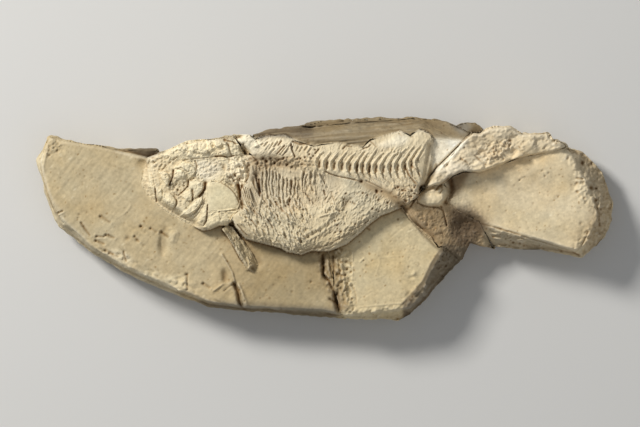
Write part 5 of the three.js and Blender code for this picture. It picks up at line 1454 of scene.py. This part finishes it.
def makeGrain():
    group, first, last = newGroup(
        "limestoneGrain",
        [("Colour", "NodeSocketColor", None), ("Grain", "NodeSocketFloat", 0.5),
         ("Specks", "NodeSocketFloat", 0.3), ("Mottle", "NodeSocketFloat", 0.3)],
        [("Colour", "NodeSocketColor"), ("Height", "NodeSocketFloat"), ("Roughness", "NodeSocketFloat")],
    )
    place = group.nodes.new("ShaderNodeTexCoord").outputs["Object"]
    fine = noiseNode(group, grainScales["fine"], 3, place)
    middle = noiseNode(group, grainScales["middle"], 4, place)
    slow = noiseNode(group, grainScales["slow"], 4, place, 0.6)
    specks = noiseNode(group, grainScales["specks"], 2, place, 0.4)
    dark = times(group, minus(group, specks, 0.63), 9, True)
    dark = times(group, dark, first.outputs["Specks"], True)
    tone = plus(group, times(group, fine, 0.5), times(group, middle, 0.5))
    tone = times(group, minus(group, tone, 0.5), first.outputs["Grain"])
    tone = plus(group, 1.0, tone)
    toned = group.nodes.new("ShaderNodeVectorMath")
    toned.operation = "SCALE"
    group.links.new(first.outputs["Colour"], toned.inputs[0])
    group.links.new(tone, toned.inputs["Scale"])
    patch = times(group, minus(group, slow, 0.45), 4, True)
    patch = times(group, patch, first.outputs["Mottle"])
    ochre = mixColour(group, 1.0, toned.outputs[0], (0.93, 0.84, 0.68, 1), "MULTIPLY")
    mottled = mixColour(group, patch, toned.outputs[0], ochre)
    brown = mixColour(group, 1.0, mottled, (0.5, 0.4, 0.3, 1), "MULTIPLY")
    group.links.new(mixColour(group, dark, mottled, brown), last.inputs["Colour"])
    high = plus(group, times(group, middle, 0.7), times(group, fine, 0.3))
    high = minus(group, high, times(group, dark, 0.5))
    group.links.new(high, last.inputs["Height"])
    group.links.new(plus(group, 0.78, times(group, middle, 0.24)), last.inputs["Roughness"])
    return group


# Dirt and painted shade: brown in the hollows, partly stain and partly painted shade, and a painted highlight, pale,
# on the crests
def makeDirtShadeAndHighlight():
    group, first, last = newGroup(
        "hollowDirtShadeAndHighlight",
        [("Colour", "NodeSocketColor", None), ("Crevice", "NodeSocketFloat", 0.0),
         ("CrestHighlight", "NodeSocketFloat", 0.0), ("Amount", "NodeSocketFloat", 1.0),
         ("DirtAndShade", "NodeSocketColor", (0.2, 0.13, 0.07, 1))],
        [("Colour", "NodeSocketColor")],
    )
    place = group.nodes.new("ShaderNodeTexCoord").outputs["Object"]
    broken = noiseNode(group, 900, 3, place)
    share = times(group, first.outputs["Crevice"], first.outputs["Amount"])
    share = times(group, share, plus(group, 0.6, times(group, broken, 0.8)), True)
    darkened = mixColour(group, 1.0, first.outputs["Colour"], first.outputs["DirtAndShade"], "MULTIPLY")
    # painted shade and stain: the hollows are darkened towards the brown
    soiledAndShaded = mixColour(group, share, first.outputs["Colour"], darkened)
    # painted highlight on the crests
    rubbedAndHighlight = mixColour(group, 0.35, first.outputs["Colour"], (0.85, 0.8, 0.68, 1))
    share = times(group, first.outputs["CrestHighlight"], 0.6, True)
    group.links.new(mixColour(group, share, soiledAndShaded, rubbedAndHighlight), last.inputs["Colour"])
    return group


finishes = {
    # grain, specks, mottle, amount of dirt and painted shade in the hollows, their colour, bump distance in metres
    "slabStone": (0.22, 0.25, 0.45, 0.95, (0.42, 0.31, 0.2, 1), 0.00012),
    "weatheredStone": (0.45, 0.4, 0.5, 0.9, (0.4, 0.32, 0.24, 1), 0.00022),
    "mortar": (0.5, 0.55, 0.4, 0.9, (0.38, 0.3, 0.22, 1), 0.0003),
    "headBone": (0.2, 0.2, 0.4, 1.0, (0.36, 0.23, 0.12, 1), 0.0001),
    "trunkBone": (0.3, 0.25, 0.4, 1.0, (0.34, 0.23, 0.14, 1), 0.00015),
}


surface = {"specular": 0.2, "bump": 0.6}


def attributeNode(tree, label):
    node = tree.nodes.new("ShaderNodeAttribute")
    node.attribute_name = label
    return node


def groupNode(tree, group, values):
    node = tree.nodes.new("ShaderNodeGroup")
    node.node_tree = group
    for label, value in values.items():
        node.inputs[label].default_value = value
    return node


def makeMaterials():
    grain, dirtShadeAndHighlight = makeGrain(), makeDirtShadeAndHighlight()
    made = {}
    for name, (strength, specks, mottle, amount, dirtAndShadeColour, bumpSize) in finishes.items():
        material = bpy.data.materials.new(name)
        material.use_nodes = True
        tree = material.node_tree
        shader = tree.nodes["Principled BSDF"]
        colour, crevices, crestHighlights = [attributeNode(tree, label) for label in ("stoneColour", "creviceShadeAndStain", "crestHighlight")]
        grainNode = groupNode(tree, grain, {"Grain": strength, "Specks": specks, "Mottle": mottle})
        dirtShadeAndHighlightNode = groupNode(tree, dirtShadeAndHighlight, {"Amount": amount, "DirtAndShade": dirtAndShadeColour})
        tree.links.new(colour.outputs["Color"], grainNode.inputs["Colour"])
        tree.links.new(grainNode.outputs["Colour"], dirtShadeAndHighlightNode.inputs["Colour"])
        tree.links.new(crevices.outputs["Fac"], dirtShadeAndHighlightNode.inputs["Crevice"])
        tree.links.new(crestHighlights.outputs["Fac"], dirtShadeAndHighlightNode.inputs["CrestHighlight"])
        tree.links.new(dirtShadeAndHighlightNode.outputs["Colour"], shader.inputs["Base Color"])
        tree.links.new(grainNode.outputs["Roughness"], shader.inputs["Roughness"])
        shader.inputs["Specular IOR Level"].default_value = surface["specular"]
        bump = tree.nodes.new("ShaderNodeBump")
        bump.inputs["Strength"].default_value = surface["bump"]
        bump.inputs["Distance"].default_value = bumpSize
        tree.links.new(grainNode.outputs["Height"], bump.inputs["Height"])
        tree.links.new(bump.outputs["Normal"], shader.inputs["Normal"])
        made[name] = material
    return made


print("fossil: making the pieces")
materials = makeMaterials()
triangles = 0
for name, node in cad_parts.items():
    voxel, finish = pieces.get(name, plateMaking)
    mesh = remeshed(node, name, voxel)
    place, onFace = carve(mesh, name, rimLevel)
    dress(mesh, name, place, onFace)
    mesh.materials.clear()
    mesh.materials.append(materials[finish])
    piece = bpy.data.objects.new(name + "_carved", mesh)
    bpy.context.collection.objects.link(piece)
    mesh.shade_smooth()
    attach(piece, "root")
    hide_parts(name)
    mesh.calc_loop_triangles()
    triangles += len(mesh.loop_triangles)
    print("fossil:", name, len(mesh.loop_triangles), "triangles")
print("fossil:", triangles, "triangles in all")

# Floor, light and camera
studio = {
    "floorColour": (0.62, 0.615, 0.6, 1),
    "sunPlace": (-0.72, 0.62, 0.72),
    "sunSize": 0.28,
    "sunPower": 15,
    "fillPlace": (0.5, -0.5, 1.0),
    "fillSize": 1.2,
    "fillPower": 1.6,
    "sky": 0.27,
}


def areaLight(name, place, size, power, colour):
    light = bpy.data.lights.new(name, "AREA")
    light.size = size
    light.energy = power
    light.color = colour
    lamp = bpy.data.objects.new(name, light)
    lamp.location = place
    lamp.rotation_euler = Vector(place).to_track_quat("Z", "Y").to_euler()
    bpy.context.collection.objects.link(lamp)


def makeStudio():
    bm = bmesh.new()
    bmesh.ops.create_grid(bm, x_segments=2, y_segments=2, size=3)
    floorMesh = bpy.data.meshes.new("floor")
    bm.to_mesh(floorMesh)
    bm.free()
    floor = bpy.data.objects.new("floor", floorMesh)
    bpy.context.collection.objects.link(floor)
    paper = bpy.data.materials.new("palePaper")
    paper.use_nodes = True
    shader = paper.node_tree.nodes["Principled BSDF"]
    shader.inputs["Base Color"].default_value = studio["floorColour"]
    shader.inputs["Roughness"].default_value = 0.9
    floorMesh.materials.append(paper)
    areaLight("key", studio["sunPlace"], studio["sunSize"], studio["sunPower"], (1.0, 0.98, 0.94))
    areaLight("fill", studio["fillPlace"], studio["fillSize"], studio["fillPower"], (0.95, 0.97, 1.0))
    world = bpy.data.worlds.new("room")
    world.use_nodes = True
    world.node_tree.nodes["Background"].inputs["Color"].default_value = (0.96, 0.98, 1.0, 1)
    world.node_tree.nodes["Background"].inputs["Strength"].default_value = studio["sky"]
    bpy.context.scene.world = world
    bpy.context.scene.view_settings.view_transform = "Standard"


view = {"distance": 2.0, "faceHeight": 0.017, "sensor": 36.0}


def makeCamera():
    width = plan["sheet"][0] * plan["unit"] * 0.001
    x, y = toMetres(plan["sheet"][0] / 2, plan["sheet"][1] / 2)
    data = bpy.data.cameras.new("camera")
    data.sensor_width = view["sensor"]
    data.lens = view["sensor"] * view["distance"] / width
    data.clip_end = 20
    camera = bpy.data.objects.new("camera", data)
    camera.location = (x, y, view["distance"] + view["faceHeight"])
    bpy.context.collection.objects.link(camera)
    bpy.context.scene.camera = camera


makeStudio()
makeCamera()
print("fossil: studio ready")
